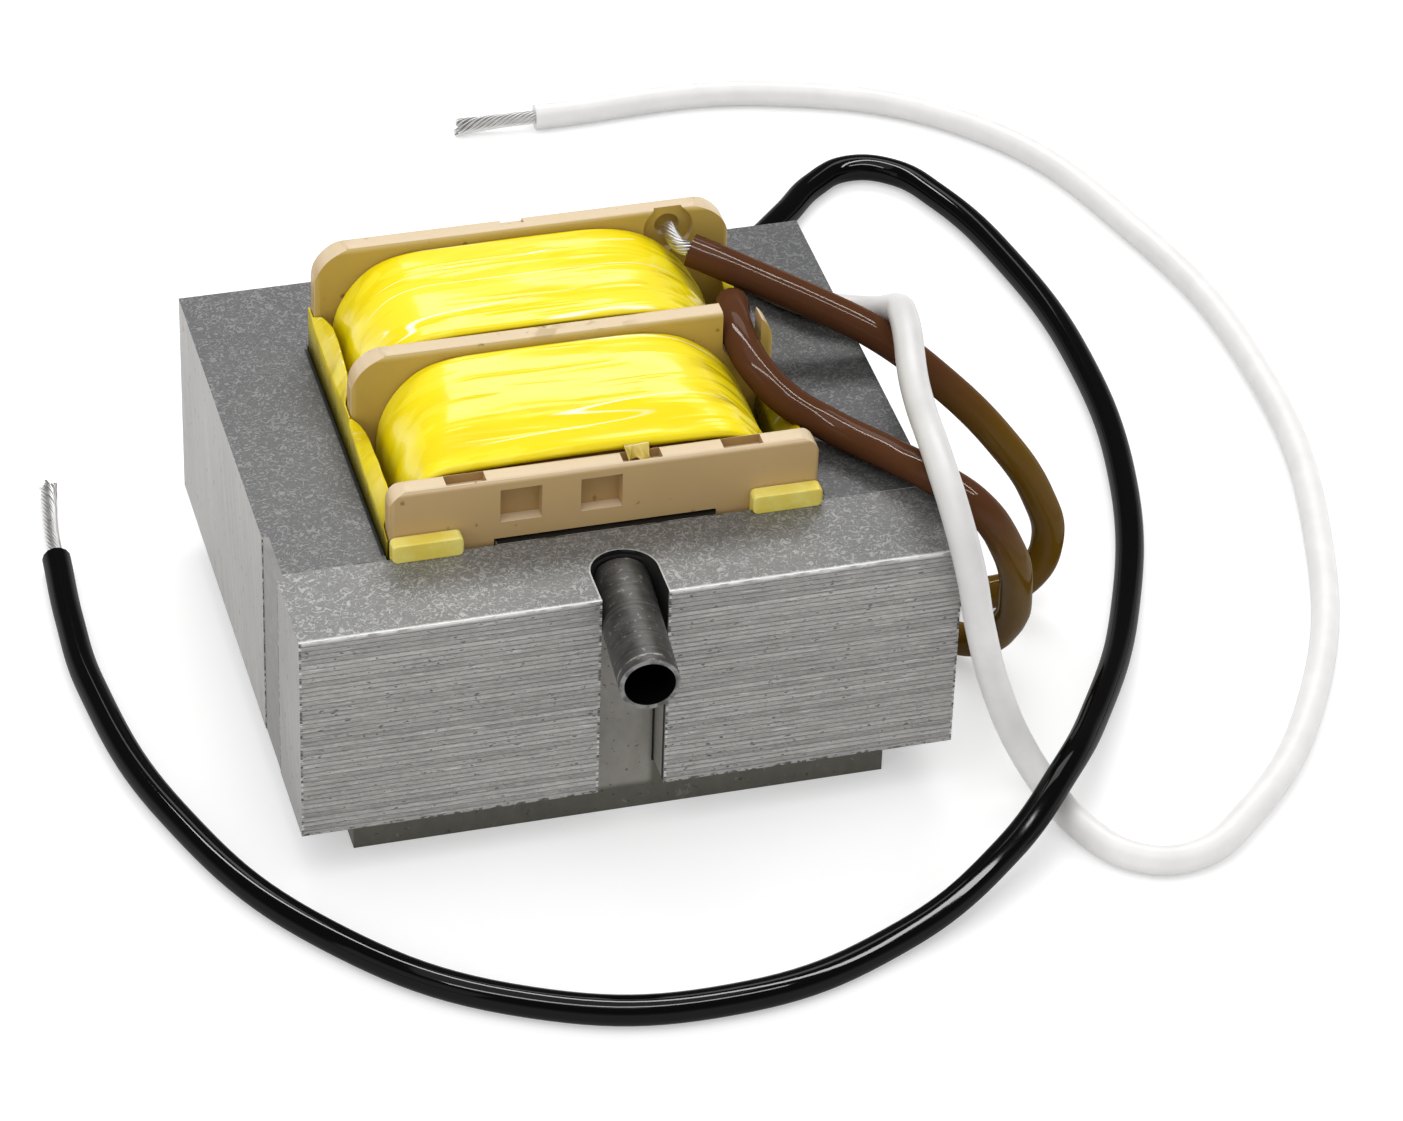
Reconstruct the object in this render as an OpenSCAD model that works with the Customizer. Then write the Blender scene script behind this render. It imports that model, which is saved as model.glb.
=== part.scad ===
// Step-down transformer: a butt-jointed E and I lamination stack on a steel base, a bobbin with
// three flanges and two taped coils, a short steel sleeve in the front slot, and four flying leads.
// Millimetres. The origin is on the floor under the middle of the base, +Y to the back, +Z up.

/* [Core] */
// Width of the lamination stack, left to right
core_w = 76.2; // [74:0.1:84]
// Depth of the lamination stack, front to back
core_d = 68.6; // [66:0.1:76]
// Thickness of one steel sheet
sheet_t = 0.635; // [0.6:0.005:0.7]
// Number of sheets in the stack
sheet_count = 43; // [40:1:48]
// Width of each outer leg
leg_w = 12.7; // [11:0.1:13.5]
// Width of the front and rear yokes
yoke_w = 12.7; // [11.5:0.1:14]
// Width of the centre leg
centre_leg_w = 25.4; // [23:0.1:26.5]
// Air gap at the butt joint between the E and the I sheets
butt_gap = 0.1; // [0.05:0.01:0.3]
// Depth of the groove between neighbouring sheets
groove_depth = 0.15; // [0.05:0.01:0.3]
// Height of the groove between neighbouring sheets
groove_h = 0.15; // [0.05:0.01:0.3]

/* [Welds] */
// Width of the weld strip that bridges the butt joint on each side
weld_w = 8.2; // [5:0.1:12]
// How far the weld strip laps over the I sheets
weld_lap = 1; // [0.5:0.1:2]
// Depth of the groove that the weld fills
weld_depth = 0.8; // [0.5:0.1:1.5]
// How far the weld's face lies below the side of the stack
weld_recess = 0.1; // [0.05:0.01:0.3]

/* [Base] */
// Width of the base plate
base_w = 62.6; // [60:0.1:70]
// Thickness of the base plate
base_h = 6.4; // [6:0.1:10]
// How far the base stands back from the front and rear of the stack
base_setback = 4.2; // [1:0.1:5]
// Clearance round the bobbin in the opening of the base
base_opening_gap = 0.6; // [0.3:0.1:1.5]
// Thickness of the tongue that stands on the base, in the slot of the front yoke
tongue_t = 2; // [1.5:0.1:3]
// Clearance between the tongue, the slot and the sleeve
tongue_gap = 0.35; // [0.2:0.05:0.6]

/* [Slot and sleeve] */
// Width of the slot in the front yoke
slot_w = 7.7; // [7.5:0.1:9]
// Depth of the slot, to the end of its round
slot_d = 8.8; // [7:0.1:10]
// Outer diameter of the sleeve
sleeve_od = 6.9; // [6:0.1:7]
// Bore of the sleeve
sleeve_bore = 5.8; // [4:0.1:5.9]
// How far the sleeve's nose stands out of the front yoke
sleeve_reach = 10.6; // [5:0.1:16]
// Depth of the sleeve's axis below the top of the stack
sleeve_drop = 3.75; // [3.5:0.05:6]
// Turn of the sleeve's nose to the left, in degrees
sleeve_yaw = 4; // [0:0.5:4]
// Dip of the sleeve's nose, in degrees
sleeve_dip = 1.5; // [0:0.5:3]
// Gap between the sleeve's dressed rear corners and the round of the slot
sleeve_gap = 0.15; // [0.1:0.05:0.4]
// Distance from the end of the slot to the sleeve's square rear end
sleeve_setback = 1.15; // [1.1:0.05:3]

/* [Bobbin] */
// Thickness of each flange
flange_t = 2.6; // [2:0.1:3]
// Gap between the flanges and the outer legs
flange_side_gap = 0.5; // [0.3:0.1:1]
// Gap between the front flange and the front yoke
front_gap = 0.9; // [0.6:0.1:1.2]
// Gap between the rear flange and the rear yoke
rear_gap = 0.3; // [0.2:0.1:0.8]
// Distance from the middle of the stack to the front face of the middle flange
middle_flange_set = 1; // [0:0.1:3]
// Height of the front flange above the stack
front_rise = 8.2; // [7.5:0.1:10]
// Height of the middle flange above the stack
middle_rise = 12.8; // [12:0.1:15]
// Height of the rear flange above the stack
rear_rise = 14.5; // [14:0.1:17]
// Depth of the flanges below the stack
flange_drop = 6; // [5:0.1:6]
// Radius of the front flange's upper corners
front_corner_r = 2.5; // [1.5:0.1:4]
// Radius of the middle and rear flanges' upper corners
corner_r = 5; // [3:0.1:7]
// Radius along the flanges' edges
edge_r = 0.6; // [0.3:0.1:0.9]
// Wall of the winding tube
tube_wall = 1.3; // [1:0.1:1.6]
// Clearance between the winding tube and the centre leg
tube_gap = 0.2; // [0.1:0.05:0.4]
// Width of the two pockets in the face of the front flange
pocket_w = 4.8; // [3:0.1:5.5]
// Height of those pockets
pocket_h = 4.4; // [3:0.1:5]
// Depth of those pockets
pocket_depth = 1.5; // [0.8:0.1:1.8]
// Distance of the pockets' lower edge above the stack
pocket_rise = 2.4; // [2:0.1:3]
// Distance of the left pocket's centre from the middle
pocket_left = 9.8; // [8:0.1:12]
// Distance of the right pocket's centre from the middle
pocket_right = 0.5; // [0:0.1:2]
// Length of the three lead slots in the top of the front flange
notch_w = 4.6; // [3:0.1:6]
// Width of those slots, front to back
notch_t = 1.8; // [1:0.1:1.9]
// Depth of those slots
notch_depth = 1.2; // [0.6:0.1:1.4]
// Distance of the two outer slots from the middle
notch_spread = 16; // [13:0.1:17]
// Distance of the middle slot to the right of the middle
notch_middle = 4.3; // [0:0.1:6]
// Width of the nick in the rear edge of the rear flange
nick_w = 2.7; // [2:0.1:4]
// Depth of that nick
nick_depth = 0.6; // [0.3:0.1:1]
// Distance of that nick to the left of the middle
nick_left = 1; // [0:0.1:6]

/* [Coils] */
// Thickness of the yellow tape round each coil
tape_t = 0.5; // [0.3:0.1:1]
// Clearance between the tape, the winding and the bobbin
coil_gap = 0.05; // [0.02:0.01:0.15]
// Clearance between the coils and the faces of the flanges
coil_end_gap = 0.1; // [0.05:0.01:0.3]
// Height of the front coil above the stack at the front flange
front_coil_low = 8; // [6:0.1:9]
// Height of the front coil above the stack at the middle flange
front_coil_high = 12.2; // [11:0.1:12.7]
// Height of the rear coil above the stack at the middle flange
rear_coil_low = 12.7; // [11:0.1:13.5]
// Height of the rear coil above the stack at the rear flange
rear_coil_high = 13.8; // [13:0.1:14.4]
// Crown of the front coil over the line between its two ends
front_crown = 0.9; // [0.4:0.1:2]
// Crown of the rear coil over the line between its two ends
rear_crown = 0.5; // [0.3:0.1:2]
// Gap between the front coil and the left outer leg
front_coil_left_gap = 3.2; // [2:0.1:5]
// Gap between the front coil and the right outer leg
front_coil_right_gap = 3.4; // [2:0.1:5]
// Gap between the rear coil and the left outer leg
rear_coil_left_gap = 2.4; // [2:0.1:5]
// Gap between the rear coil and the right outer leg
rear_coil_right_gap = 3.4; // [2:0.1:5]
// Radius of the coils' upper left shoulders
left_shoulder_r = 11.2; // [6:0.1:12]
// Radius of the coils' upper right shoulders
right_shoulder_r = 15.8; // [10:0.1:17]
// Radius of the coils' lower corners
lower_corner_r = 2.5; // [1.5:0.1:3]
// Gap between the coils and the floor
coil_floor_gap = 0.6; // [0.4:0.1:1]

/* [Films and wedges] */
// Thickness of the insulating film beside each coil
film_t = 0.3; // [0.2:0.05:0.4]
// Gap between the films and the outer legs
film_leg_gap = 1; // [0.5:0.1:1.2]
// Clearance between the films and the flanges
film_end_gap = 0.2; // [0.1:0.05:0.5]
// Width of each wedge's head
wedge_w = 8.2; // [5:0.1:10]
// Height of each wedge's head
wedge_h = 2.4; // [1.5:0.1:4]
// How far the wedges' heads stand in front of the front flange
wedge_reach = 1.9; // [1.2:0.1:3]
// Length of the blade that each wedge has in the front gap
wedge_blade = 18; // [8:0.5:22]
// Clearance of that blade on each side
wedge_gap = 0.05; // [0.03:0.01:0.1]

/* [Leads] */
// Outer diameter of the black and the white lead
mains_lead_d = 3.5; // [3:0.1:3.8]
// Outer diameter of the brown leads
brown_lead_d = 4; // [3.5:0.1:4.2]
// Diameter of the bare strands
strand_d = 1.86; // [1.2:0.02:2]
// Clearance round a lead in its hole or notch in the bobbin
lead_gap = 0.3; // [0.15:0.05:0.4]
// Height of the black and white leads' holes above the stack
lead_hole_rise = 4.5; // [4:0.1:6]

/* [Hidden] */
$fn = 96;
cut = 1;
lead_sides = 8;

core_h = sheet_count * sheet_t;
core_top = base_h + core_h;
half_w = core_w / 2;
half_d = core_d / 2;
window_d = core_d - 2 * yoke_w;
window_outer = half_w - leg_w;
window_w = window_outer - centre_leg_w / 2;
seam_y = -window_d / 2;

flange_half = window_outer - flange_side_gap;
front_face = seam_y + front_gap;
middle_face = -middle_flange_set;
rear_face = window_d / 2 - rear_gap - flange_t;
flange_floor = base_h - flange_drop;
tube_half = centre_leg_w / 2 + tube_gap + tube_wall;
tube_top = core_top + tube_gap + tube_wall;
tube_floor = base_h - tube_gap - tube_wall;

// Keyhole in the rear flange, where the strands of the rear brown lead come through
keyhole_x = 17.5;
keyhole_rise = 12;
keyhole_r = 1.5;
keyhole_recess_r = 3;
keyhole_recess = 0.8;
keyhole_depth = 1.9;
// Place of the black and the white lead's hole, and of the front brown lead's notch
black_hole_x = 2;
white_hole_x = 8.5;
brown_notch_x = 21.1;
brown_notch_rise = 8.5;

// Height of the films' upper edges above the stack, as [share of the film's length, height]
film_front_left_top = [[0, 7.2], [0.12, 6.2], [0.35, 4.3], [0.7, 3.7], [1, 3.4]];
film_front_right_top = [[0, 4.6], [0.3, 4], [0.55, 2.4], [1, 1.6]];
film_rear_left_top = [[0, 9.4], [0.15, 9.6], [0.5, 8.2], [0.85, 7.4], [1, 8]];
film_rear_right_top = [[0, 1.2], [0.6, 1.4], [0.85, 2.2], [1, 6.5]];

// Routes of the leads, from where each leaves the bobbin to the end of its insulation
black_route = [
    [2, 19, 38.2], [2.1, 26, 38.2], [3.8, 33.6, 37], [9.6, 43, 28.4], [19, 52.6, 15.4],
    [31, 62.8, 6.2], [43, 73.4, 2.6], [51.6, 82.2, 1.9], [57, 88, 1.8], [62.6, 91, 1.8],
    [68.2, 89, 1.8], [72.4, 82, 1.8], [77, 65, 1.8], [79, 42, 1.8], [76, 15, 1.8],
    [67.6, -10.4, 2.1], [56.2, -32.4, 5.2], [49, -43, 6.7], [39.4, -52.4, 4.5], [24.6, -61.2, 2],
    [3, -67, 1.8], [-18.5, -62.4, 1.8], [-38, -46, 1.8], [-50.4, -21.5, 1.8], [-55.3, 4, 1.8],
    [-55.5, 17, 1.8], [-54.9, 29, 1.8]];
black_bare = [[-54.9, 29, 1.8], [-54.7, 33, 1.8], [-53.2, 45, 1.1]];
white_route = [
    [8.5, 19, 38.2], [8.5, 23.2, 38.2], [10.6, 29, 37.2], [16, 31.7, 36], [21.8, 29.4, 35.6],
    [25.6, 25.2, 35.6], [36, 13, 35.6], [39.4, 10, 37], [41.7, 6.8, 39.4], [42, 1.6, 40.8],
    [39.4, -13.4, 39.5], [37.2, -27, 40.4], [37.2, -33.4, 38], [38, -37, 33], [39.8, -37, 24],
    [43, -36, 13], [46, -37.2, 5.6], [48.2, -41.6, 2.4], [50.2, -48, 1.8], [54.6, -54.2, 1.8],
    [60.6, -55.4, 1.8], [69, -50, 1.8], [83.5, -32, 1.8], [96, 0, 1.8], [100.5, 34, 1.8],
    [96, 67, 1.8], [82, 97.5, 1.8], [57, 111.5, 1.8], [25, 112.5, 1.8]];
white_bare = [[25, 112.5, 1.8], [21.8, 112.6, 1.8], [14, 113.4, 1.1]];
brown_rear_route = [
    [19.2, 15, 44.8], [22.2, 13.2, 43.9], [27, 10.9, 42], [33, 8, 39.6], [39.5, 4.6, 36.6],
    [46, 1.1, 31.7], [53, -2.2, 24.2], [57.8, -3.7, 16.2], [59.4, -4, 9.6], [57.4, -4.2, 4.8],
    [53.4, -3.6, 2.5], [49, -1.2, 2.1], [45.8, 4, 2], [44.6, 13, 2], [43.6, 33, 2],
    [36, 43.3, 2], [12, 44.5, 2]];
brown_rear_bare = [[12, 44.5, 2], [8, 44.7, 2], [2, 44.8, 1.2]];
brown_keyhole_bare = [[17.5, 19, 45.7], [17.6, 17.2, 45.5], [18.2, 15.6, 45.1], [19.2, 15, 44.8]];
brown_front_route = [
    [23.8, 11.8, 36.4], [23.3, 10.4, 39], [22.4, 7.8, 41.3], [21.4, 4, 42.5], [21, -0.4, 42.4],
    [21.8, -4.6, 41], [24.6, -8, 38.4], [28.8, -11, 36.3], [34.2, -17.8, 36], [38, -23.8, 36.2],
    [41.8, -27.2, 34.2], [45.6, -27.4, 28], [48.8, -23, 17.4], [49.6, -18.4, 9.4], [47.8, -14, 3.9],
    [43.6, -8.4, 2.4], [40, 2, 2], [39.4, 27, 2], [32, 38.8, 2], [16, 39.6, 2]];
brown_front_bare = [[16, 39.6, 2], [12, 39.8, 2], [6, 39.9, 1.2]];

steel = [0.55, 0.56, 0.56];
steel_light = [0.62, 0.62, 0.61];
weld_gray = [0.42, 0.42, 0.42];
base_gray = [0.36, 0.38, 0.36];
gunmetal = [0.22, 0.22, 0.23];
cream = [0.87, 0.76, 0.58];
copper = [0.72, 0.43, 0.2];
tape_yellow = [0.98, 0.87, 0.05];
wax_yellow = [0.83, 0.78, 0.38];
brown = [0.36, 0.2, 0.12];
tinned = [0.75, 0.75, 0.76];

// A box from one corner to the opposite one
module block(low, high) {
    translate(low)
        cube(high - low);
}

// Extrudes an outline drawn in X and Z from y0 back to y1
module along_y(y0, y1) {
    translate([0, y1, 0])
        rotate([90, 0, 0])
            linear_extrude(y1 - y0)
                children();
}

// Extrudes an outline drawn in Y and Z from x0 right to x1
module along_x(x0, x1) {
    translate([x0, 0, 0])
        rotate([90, 0, 90])
            linear_extrude(x1 - x0)
                children();
}

// Side outline of a run of stacked sheets, with a groove between neighbours on its toothed face
module stack_outline(toothed, plain) {
    inset = toothed < plain ? groove_depth : -groove_depth;
    sheet_edge = [for (i = [0:sheet_count - 1])
        let (z0 = base_h + i * sheet_t + (i == 0 ? 0 : groove_h / 2))
        let (z1 = base_h + (i + 1) * sheet_t - (i == sheet_count - 1 ? 0 : groove_h / 2))
        each i == sheet_count - 1
            ? [[toothed, z0], [toothed, z1]]
            : [[toothed, z0], [toothed, z1], [toothed + inset, z1], [toothed + inset, z1 + groove_h]]];
    polygon(concat(sheet_edge, [[plain, core_top], [plain, base_h]]));
}

// Plan of the front slot, drawn larger or smaller by grow and open to the front
module slot_plan(grow, front) {
    r = slot_w / 2 + grow;
    round_y = -half_d + slot_d - slot_w / 2;
    translate([0, round_y])
        circle(r);
    translate([-r, front])
        square([2 * r, round_y - front]);
}

// The groove in one side of the stack that the weld fills
module weld_groove(side) {
    x0 = side < 0 ? -half_w - cut : half_w - weld_depth;
    block([x0, seam_y - weld_lap, base_h - cut],
          [x0 + weld_depth + cut, seam_y - weld_lap + weld_w, core_top + cut]);
}

module weld_strip(side) {
    x0 = side < 0 ? -half_w + weld_recess : half_w - weld_depth;
    color(weld_gray)
        block([x0, seam_y - weld_lap, base_h],
              [x0 + weld_depth - weld_recess, seam_y - weld_lap + weld_w, core_top]);
}

module base_plate() {
    color(base_gray)
        difference() {
            block([-base_w / 2, -half_d + base_setback, 0], [base_w / 2, half_d - base_setback, base_h]);
            block([-flange_half - base_opening_gap, front_face - base_opening_gap, -cut],
                  [flange_half + base_opening_gap, rear_face + flange_t + base_opening_gap, base_h + cut]);
        }
}

// The upright tongue on the base, flush with its front; it reaches up to just below the sleeve
module base_tongue() {
    front = -half_d + base_setback;
    top = core_top - sleeve_drop - sleeve_od / 2 - tongue_gap;
    color(base_gray)
        intersection() {
            block([-slot_w, front, base_h], [slot_w, front + tongue_t, top]);
            linear_extrude(core_top)
                slot_plan(-tongue_gap, -half_d);
        }
}

module e_stack() {
    color(steel)
        difference() {
            along_x(-half_w, half_w)
                stack_outline(half_d, seam_y + butt_gap);
            for (side = [-1, 1]) {
                x0 = side < 0 ? -window_outer : window_outer - window_w;
                block([x0, seam_y - cut, base_h - cut], [x0 + window_w, -seam_y, core_top + cut]);
                weld_groove(side);
            }
        }
}

module i_stack() {
    color(steel_light)
        difference() {
            along_x(-half_w, half_w)
                stack_outline(-half_d, seam_y);
            translate([0, 0, base_h - cut])
                linear_extrude(core_h + 2 * cut)
                    slot_plan(0, -half_d - cut);
            for (side = [-1, 1])
                weld_groove(side);
        }
}

module weld_left() weld_strip(-1);

module weld_right() weld_strip(1);

// Face outline of a flange, square below and rounded at its two upper corners
module flange_outline(rise, r) {
    top = core_top + rise;
    for (side = [-1, 1])
        translate([side * (flange_half - r), top - r])
            circle(r);
    translate([-flange_half, flange_floor])
        square([2 * flange_half, top - r - flange_floor]);
    translate([-flange_half + r, flange_floor])
        square([2 * (flange_half - r), top - flange_floor]);
}

// A thin strip with round long edges, used for the edges of the flanges
module rounded_strip(low, high) {
    for (x = [low[0] + edge_r, high[0] - edge_r])
        for (y = [low[1] + edge_r, high[1] - edge_r])
            translate([x, y])
                circle(edge_r);
    translate([low[0] + edge_r, low[1]])
        square([high[0] - low[0] - 2 * edge_r, high[1] - low[1]]);
    translate([low[0], low[1] + edge_r])
        square([high[0] - low[0], high[1] - low[1] - 2 * edge_r]);
}

// One flange: its face outline, with rounded upper and side edges
module flange(face, rise, r) {
    intersection() {
        along_y(face, face + flange_t)
            flange_outline(rise, r);
        along_x(-flange_half - cut, flange_half + cut)
            rounded_strip([face, flange_floor], [face + flange_t, core_top + rise]);
        translate([0, 0, flange_floor - cut])
            linear_extrude(core_top + rise - flange_floor + 2 * cut)
                rounded_strip([-flange_half, face], [flange_half, face + flange_t]);
    }
}

module front_flange() {
    top = core_top + front_rise;
    pocket_floor = core_top + pocket_rise;
    difference() {
        flange(front_face, front_rise, front_corner_r);
        for (x = [-pocket_left, -pocket_right])
            block([x - pocket_w / 2, front_face - cut, pocket_floor],
                  [x + pocket_w / 2, front_face + pocket_depth, pocket_floor + pocket_h]);
        for (x = [-notch_spread, notch_middle, notch_spread])
            translate([x, front_face + flange_t / 2, top])
                cube([notch_w, notch_t, 2 * notch_depth], center = true);
    }
}

module middle_flange() {
    notch_r = brown_lead_d / 2 + lead_gap;
    difference() {
        flange(middle_face, middle_rise, corner_r);
        along_y(middle_face - cut, middle_face + flange_t + cut)
            union() {
                translate([brown_notch_x, core_top + brown_notch_rise])
                    circle(notch_r);
                translate([brown_notch_x - notch_r, core_top + brown_notch_rise])
                    square([2 * notch_r, middle_rise]);
            }
    }
}

module rear_flange() {
    top = core_top + rear_rise;
    difference() {
        flange(rear_face, rear_rise, corner_r);
        along_y(rear_face - cut, rear_face + flange_t + cut)
            for (x = [black_hole_x, white_hole_x])
                translate([x, core_top + lead_hole_rise])
                    circle(mains_lead_d / 2 + lead_gap);
        along_y(rear_face - cut, rear_face + keyhole_depth)
            translate([keyhole_x, core_top + keyhole_rise])
                circle(keyhole_r);
        along_y(rear_face - cut, rear_face + keyhole_recess)
            translate([keyhole_x, core_top + keyhole_rise])
                circle(keyhole_recess_r);
        block([-nick_left - nick_w / 2, rear_face + flange_t / 2, top - nick_depth],
              [-nick_left + nick_w / 2, rear_face + flange_t + cut, top + cut]);
    }
}

module winding_tube() {
    gap_half = tube_half - tube_wall;
    difference() {
        block([-tube_half, front_face + edge_r, tube_floor],
              [tube_half, rear_face + flange_t - edge_r, tube_top]);
        block([-gap_half, front_face, tube_floor + tube_wall],
              [gap_half, rear_face + flange_t, tube_top - tube_wall]);
    }
}

module bobbin() {
    gap_half = tube_half - tube_wall;
    color(cream)
        difference() {
            union() {
                winding_tube();
                front_flange();
                middle_flange();
                rear_flange();
            }
            block([-gap_half, front_face - cut, tube_floor + tube_wall],
                  [gap_half, rear_face + flange_t + cut, tube_top - tube_wall]);
        }
}

// Cross-section of a coil, drawn smaller by inset, with a wide round on each upper shoulder
module coil_outline(left, right, top, inset) {
    l = left - inset;
    r = right - inset;
    high = top - inset;
    low = coil_floor_gap + inset;
    left_r = left_shoulder_r - inset;
    right_r = right_shoulder_r - inset;
    foot_r = lower_corner_r - inset;
    translate([-l + left_r, high - left_r])
        circle(left_r);
    translate([r - right_r, high - right_r])
        circle(right_r);
    for (x = [-l + foot_r, r - foot_r])
        translate([x, low + foot_r])
            circle(foot_r);
    translate([-l, low + foot_r])
        square([left_r, high - left_r - low - foot_r]);
    translate([r - right_r, low + foot_r])
        square([right_r, high - right_r - low - foot_r]);
    translate([-l + left_r, low + foot_r])
        square([l + r - left_r - right_r, high - low - foot_r]);
    translate([-l + foot_r, low])
        square([l + r - 2 * foot_r, foot_r]);
}

// A round bar across the part whose top passes through two points with the given crown between them
module crown_bar(y0, z0, y1, z1, crown, inset) {
    chord = norm([y1 - y0, z1 - z0]);
    radius = chord * chord / (8 * crown) + crown / 2;
    drop = radius - crown;
    centre_y = (y0 + y1) / 2 + drop * (z1 - z0) / chord;
    centre_z = (z0 + z1) / 2 - drop * (y1 - y0) / chord;
    along_x(-half_w, half_w)
        translate([centre_y, centre_z])
            circle(radius - inset, $fn = 360);
}

// Outer form of a coil between two flange faces, smaller all round by inset
module coil_form(y0, y1, left, right, low, high, crown, inset, extra) {
    intersection() {
        along_y(y0 - extra, y1 + extra)
            coil_outline(left, right, core_top + max(low, high) + crown / 3, inset);
        crown_bar(y0, core_top + low, y1, core_top + high, crown, inset);
    }
}

module front_coil(inset, extra) {
    coil_form(front_face + flange_t + coil_end_gap, middle_face - coil_end_gap,
              window_outer - front_coil_left_gap, window_outer - front_coil_right_gap,
              front_coil_low, front_coil_high, front_crown, inset, extra);
}

module rear_coil(inset, extra) {
    coil_form(middle_face + flange_t + coil_end_gap, rear_face - coil_end_gap,
              window_outer - rear_coil_left_gap, window_outer - rear_coil_right_gap,
              rear_coil_low, rear_coil_high, rear_crown, inset, extra);
}

// Space that the winding tube takes out of each winding
module tube_space() {
    block([-tube_half - coil_gap, front_face, tube_floor - coil_gap],
          [tube_half + coil_gap, rear_face + flange_t, tube_top + coil_gap]);
}

module front_winding() {
    color(copper)
        difference() {
            front_coil(tape_t + coil_gap, 0);
            tube_space();
        }
}

module rear_winding() {
    color(copper)
        difference() {
            rear_coil(tape_t + coil_gap, 0);
            tube_space();
        }
}

module front_tape() {
    color(tape_yellow)
        difference() {
            front_coil(0, 0);
            front_coil(tape_t, coil_end_gap / 2);
        }
}

module rear_tape() {
    color(tape_yellow)
        difference() {
            rear_coil(0, 0);
            rear_coil(tape_t, coil_end_gap / 2);
        }
}

// A film that stands in the window between two flanges, with an uneven upper edge
module film(side, y0, y1, top) {
    start = y0 + film_end_gap;
    length = y1 - y0 - 2 * film_end_gap;
    outer = window_outer - film_leg_gap;
    x0 = side < 0 ? -outer : outer - film_t;
    color(tape_yellow)
        along_x(x0, x0 + film_t)
            polygon(concat([for (p = top) [start + p[0] * length, core_top + p[1]]],
                           [[start + length, base_h], [start, base_h]]));
}

module film_front_left() film(-1, front_face + flange_t, middle_face, film_front_left_top);

module film_front_right() film(1, front_face + flange_t, middle_face, film_front_right_top);

module film_rear_left() film(-1, middle_face + flange_t, rear_face, film_rear_left_top);

module film_rear_right() film(1, middle_face + flange_t, rear_face, film_rear_right_top);

// A wedge: a head on the front yoke against the flange, and a blade in the gap below it
module wedge(x0) {
    color(wax_yellow)
        union() {
            block([x0, front_face - wedge_reach, core_top],
                  [x0 + wedge_w, front_face - wedge_gap, core_top + wedge_h]);
            block([x0, seam_y + wedge_gap, core_top - wedge_blade],
                  [x0 + wedge_w, front_face - wedge_gap, core_top + wedge_h]);
        }
}

module wedge_left() wedge(-flange_half - wedge_gap);

module wedge_right() wedge(flange_half + wedge_gap - wedge_w);

// Places the sleeve's own axis, with its nose along +Z, in the slot
module sleeve_place() {
    translate([0, -half_d + slot_d - slot_w / 2, core_top - sleeve_drop])
        rotate([90 + sleeve_dip, 0, -sleeve_yaw])
            children();
}

// Plan that the sleeve stays in: it is trimmed to fit the round end of the slot, and free before it
module sleeve_plan() {
    round_y = -half_d + slot_d - slot_w / 2;
    front = -half_d - sleeve_reach - sleeve_od;
    translate([0, round_y])
        circle(slot_w / 2 - sleeve_gap);
    translate([-slot_w, front])
        square([2 * slot_w, round_y - front]);
}

module spacer_sleeve() {
    nose = slot_d - slot_w / 2 + sleeve_reach;
    tail = slot_w / 2 - sleeve_setback;
    color(gunmetal)
        difference() {
            intersection() {
                sleeve_place()
                    translate([0, 0, -tail])
                        cylinder(h = nose + tail, d = sleeve_od);
                translate([0, 0, base_h])
                    linear_extrude(core_h + sleeve_od)
                        sleeve_plan();
            }
            sleeve_place()
                translate([0, 0, -tail - cut])
                    cylinder(h = nose + tail + 2 * cut, d = sleeve_bore);
        }
}

function unit(v) = v / norm(v);

// Direction of a route at one of its points
function heading(route, i) =
    i == 0 ? unit(route[1] - route[0])
    : i == len(route) - 1 ? unit(route[i] - route[i - 1])
    : unit(unit(route[i] - route[i - 1]) + unit(route[i + 1] - route[i]));

// A vector square to v, kept as near as it can be to the one given
function square_to(v, near) = unit(near - (near * v) * v);

// Side vectors along a route, carried from point to point without twist
function side_vectors(route) =
    [for (i = 0, side = square_to(heading(route, 0), [0.6, 0.3, 0.74]);
          i < len(route);
          i = i + 1, side = i < len(route) ? square_to(heading(route, i), side) : side)
        side];

// A round tube along a route, with one ring of corners at each of its points
module lead(route, d) {
    sides = side_vectors(route);
    n = lead_sides;
    rings = len(route);
    corners = [for (i = [0:rings - 1])
        let (across = cross(heading(route, i), sides[i]))
        for (k = [0:n - 1])
            route[i] + d / 2 * (cos(360 * k / n) * sides[i] + sin(360 * k / n) * across)];
    walls = [for (i = [0:rings - 2])
        for (k = [0:n - 1])
            let (a = i * n + k, b = i * n + (k + 1) % n)
            each [[a, a + n, b], [b, a + n, b + n]]];
    start_cap = [for (k = [0:n - 1]) k];
    end_cap = [for (k = [n - 1:-1:0]) (rings - 1) * n + k];
    polyhedron(corners, concat(walls, [start_cap, end_cap]));
}

module black_lead() color([0.08, 0.08, 0.08]) lead(black_route, mains_lead_d);

module black_strands() color(tinned) lead(black_bare, strand_d);

module white_lead() color([0.93, 0.92, 0.91]) lead(white_route, mains_lead_d);

module white_strands() color(tinned) lead(white_bare, strand_d);

module brown_lead_rear() color(brown) lead(brown_rear_route, brown_lead_d);

module brown_keyhole_strands() color(tinned) lead(brown_keyhole_bare, strand_d);

module brown_rear_strands() color(tinned) lead(brown_rear_bare, strand_d);

module brown_lead_front() color(brown) lead(brown_front_route, brown_lead_d);

module brown_front_strands() color(tinned) lead(brown_front_bare, strand_d);

base_plate();
base_tongue();
e_stack();
i_stack();
weld_left();
weld_right();
bobbin();
front_winding();
rear_winding();
front_tape();
rear_tape();
film_front_left();
film_front_right();
film_rear_left();
film_rear_right();
wedge_left();
wedge_right();
spacer_sleeve();
black_lead();
black_strands();
white_lead();
white_strands();
brown_lead_rear();
brown_keyhole_strands();
brown_rear_strands();
brown_lead_front();
brown_front_strands();
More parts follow.
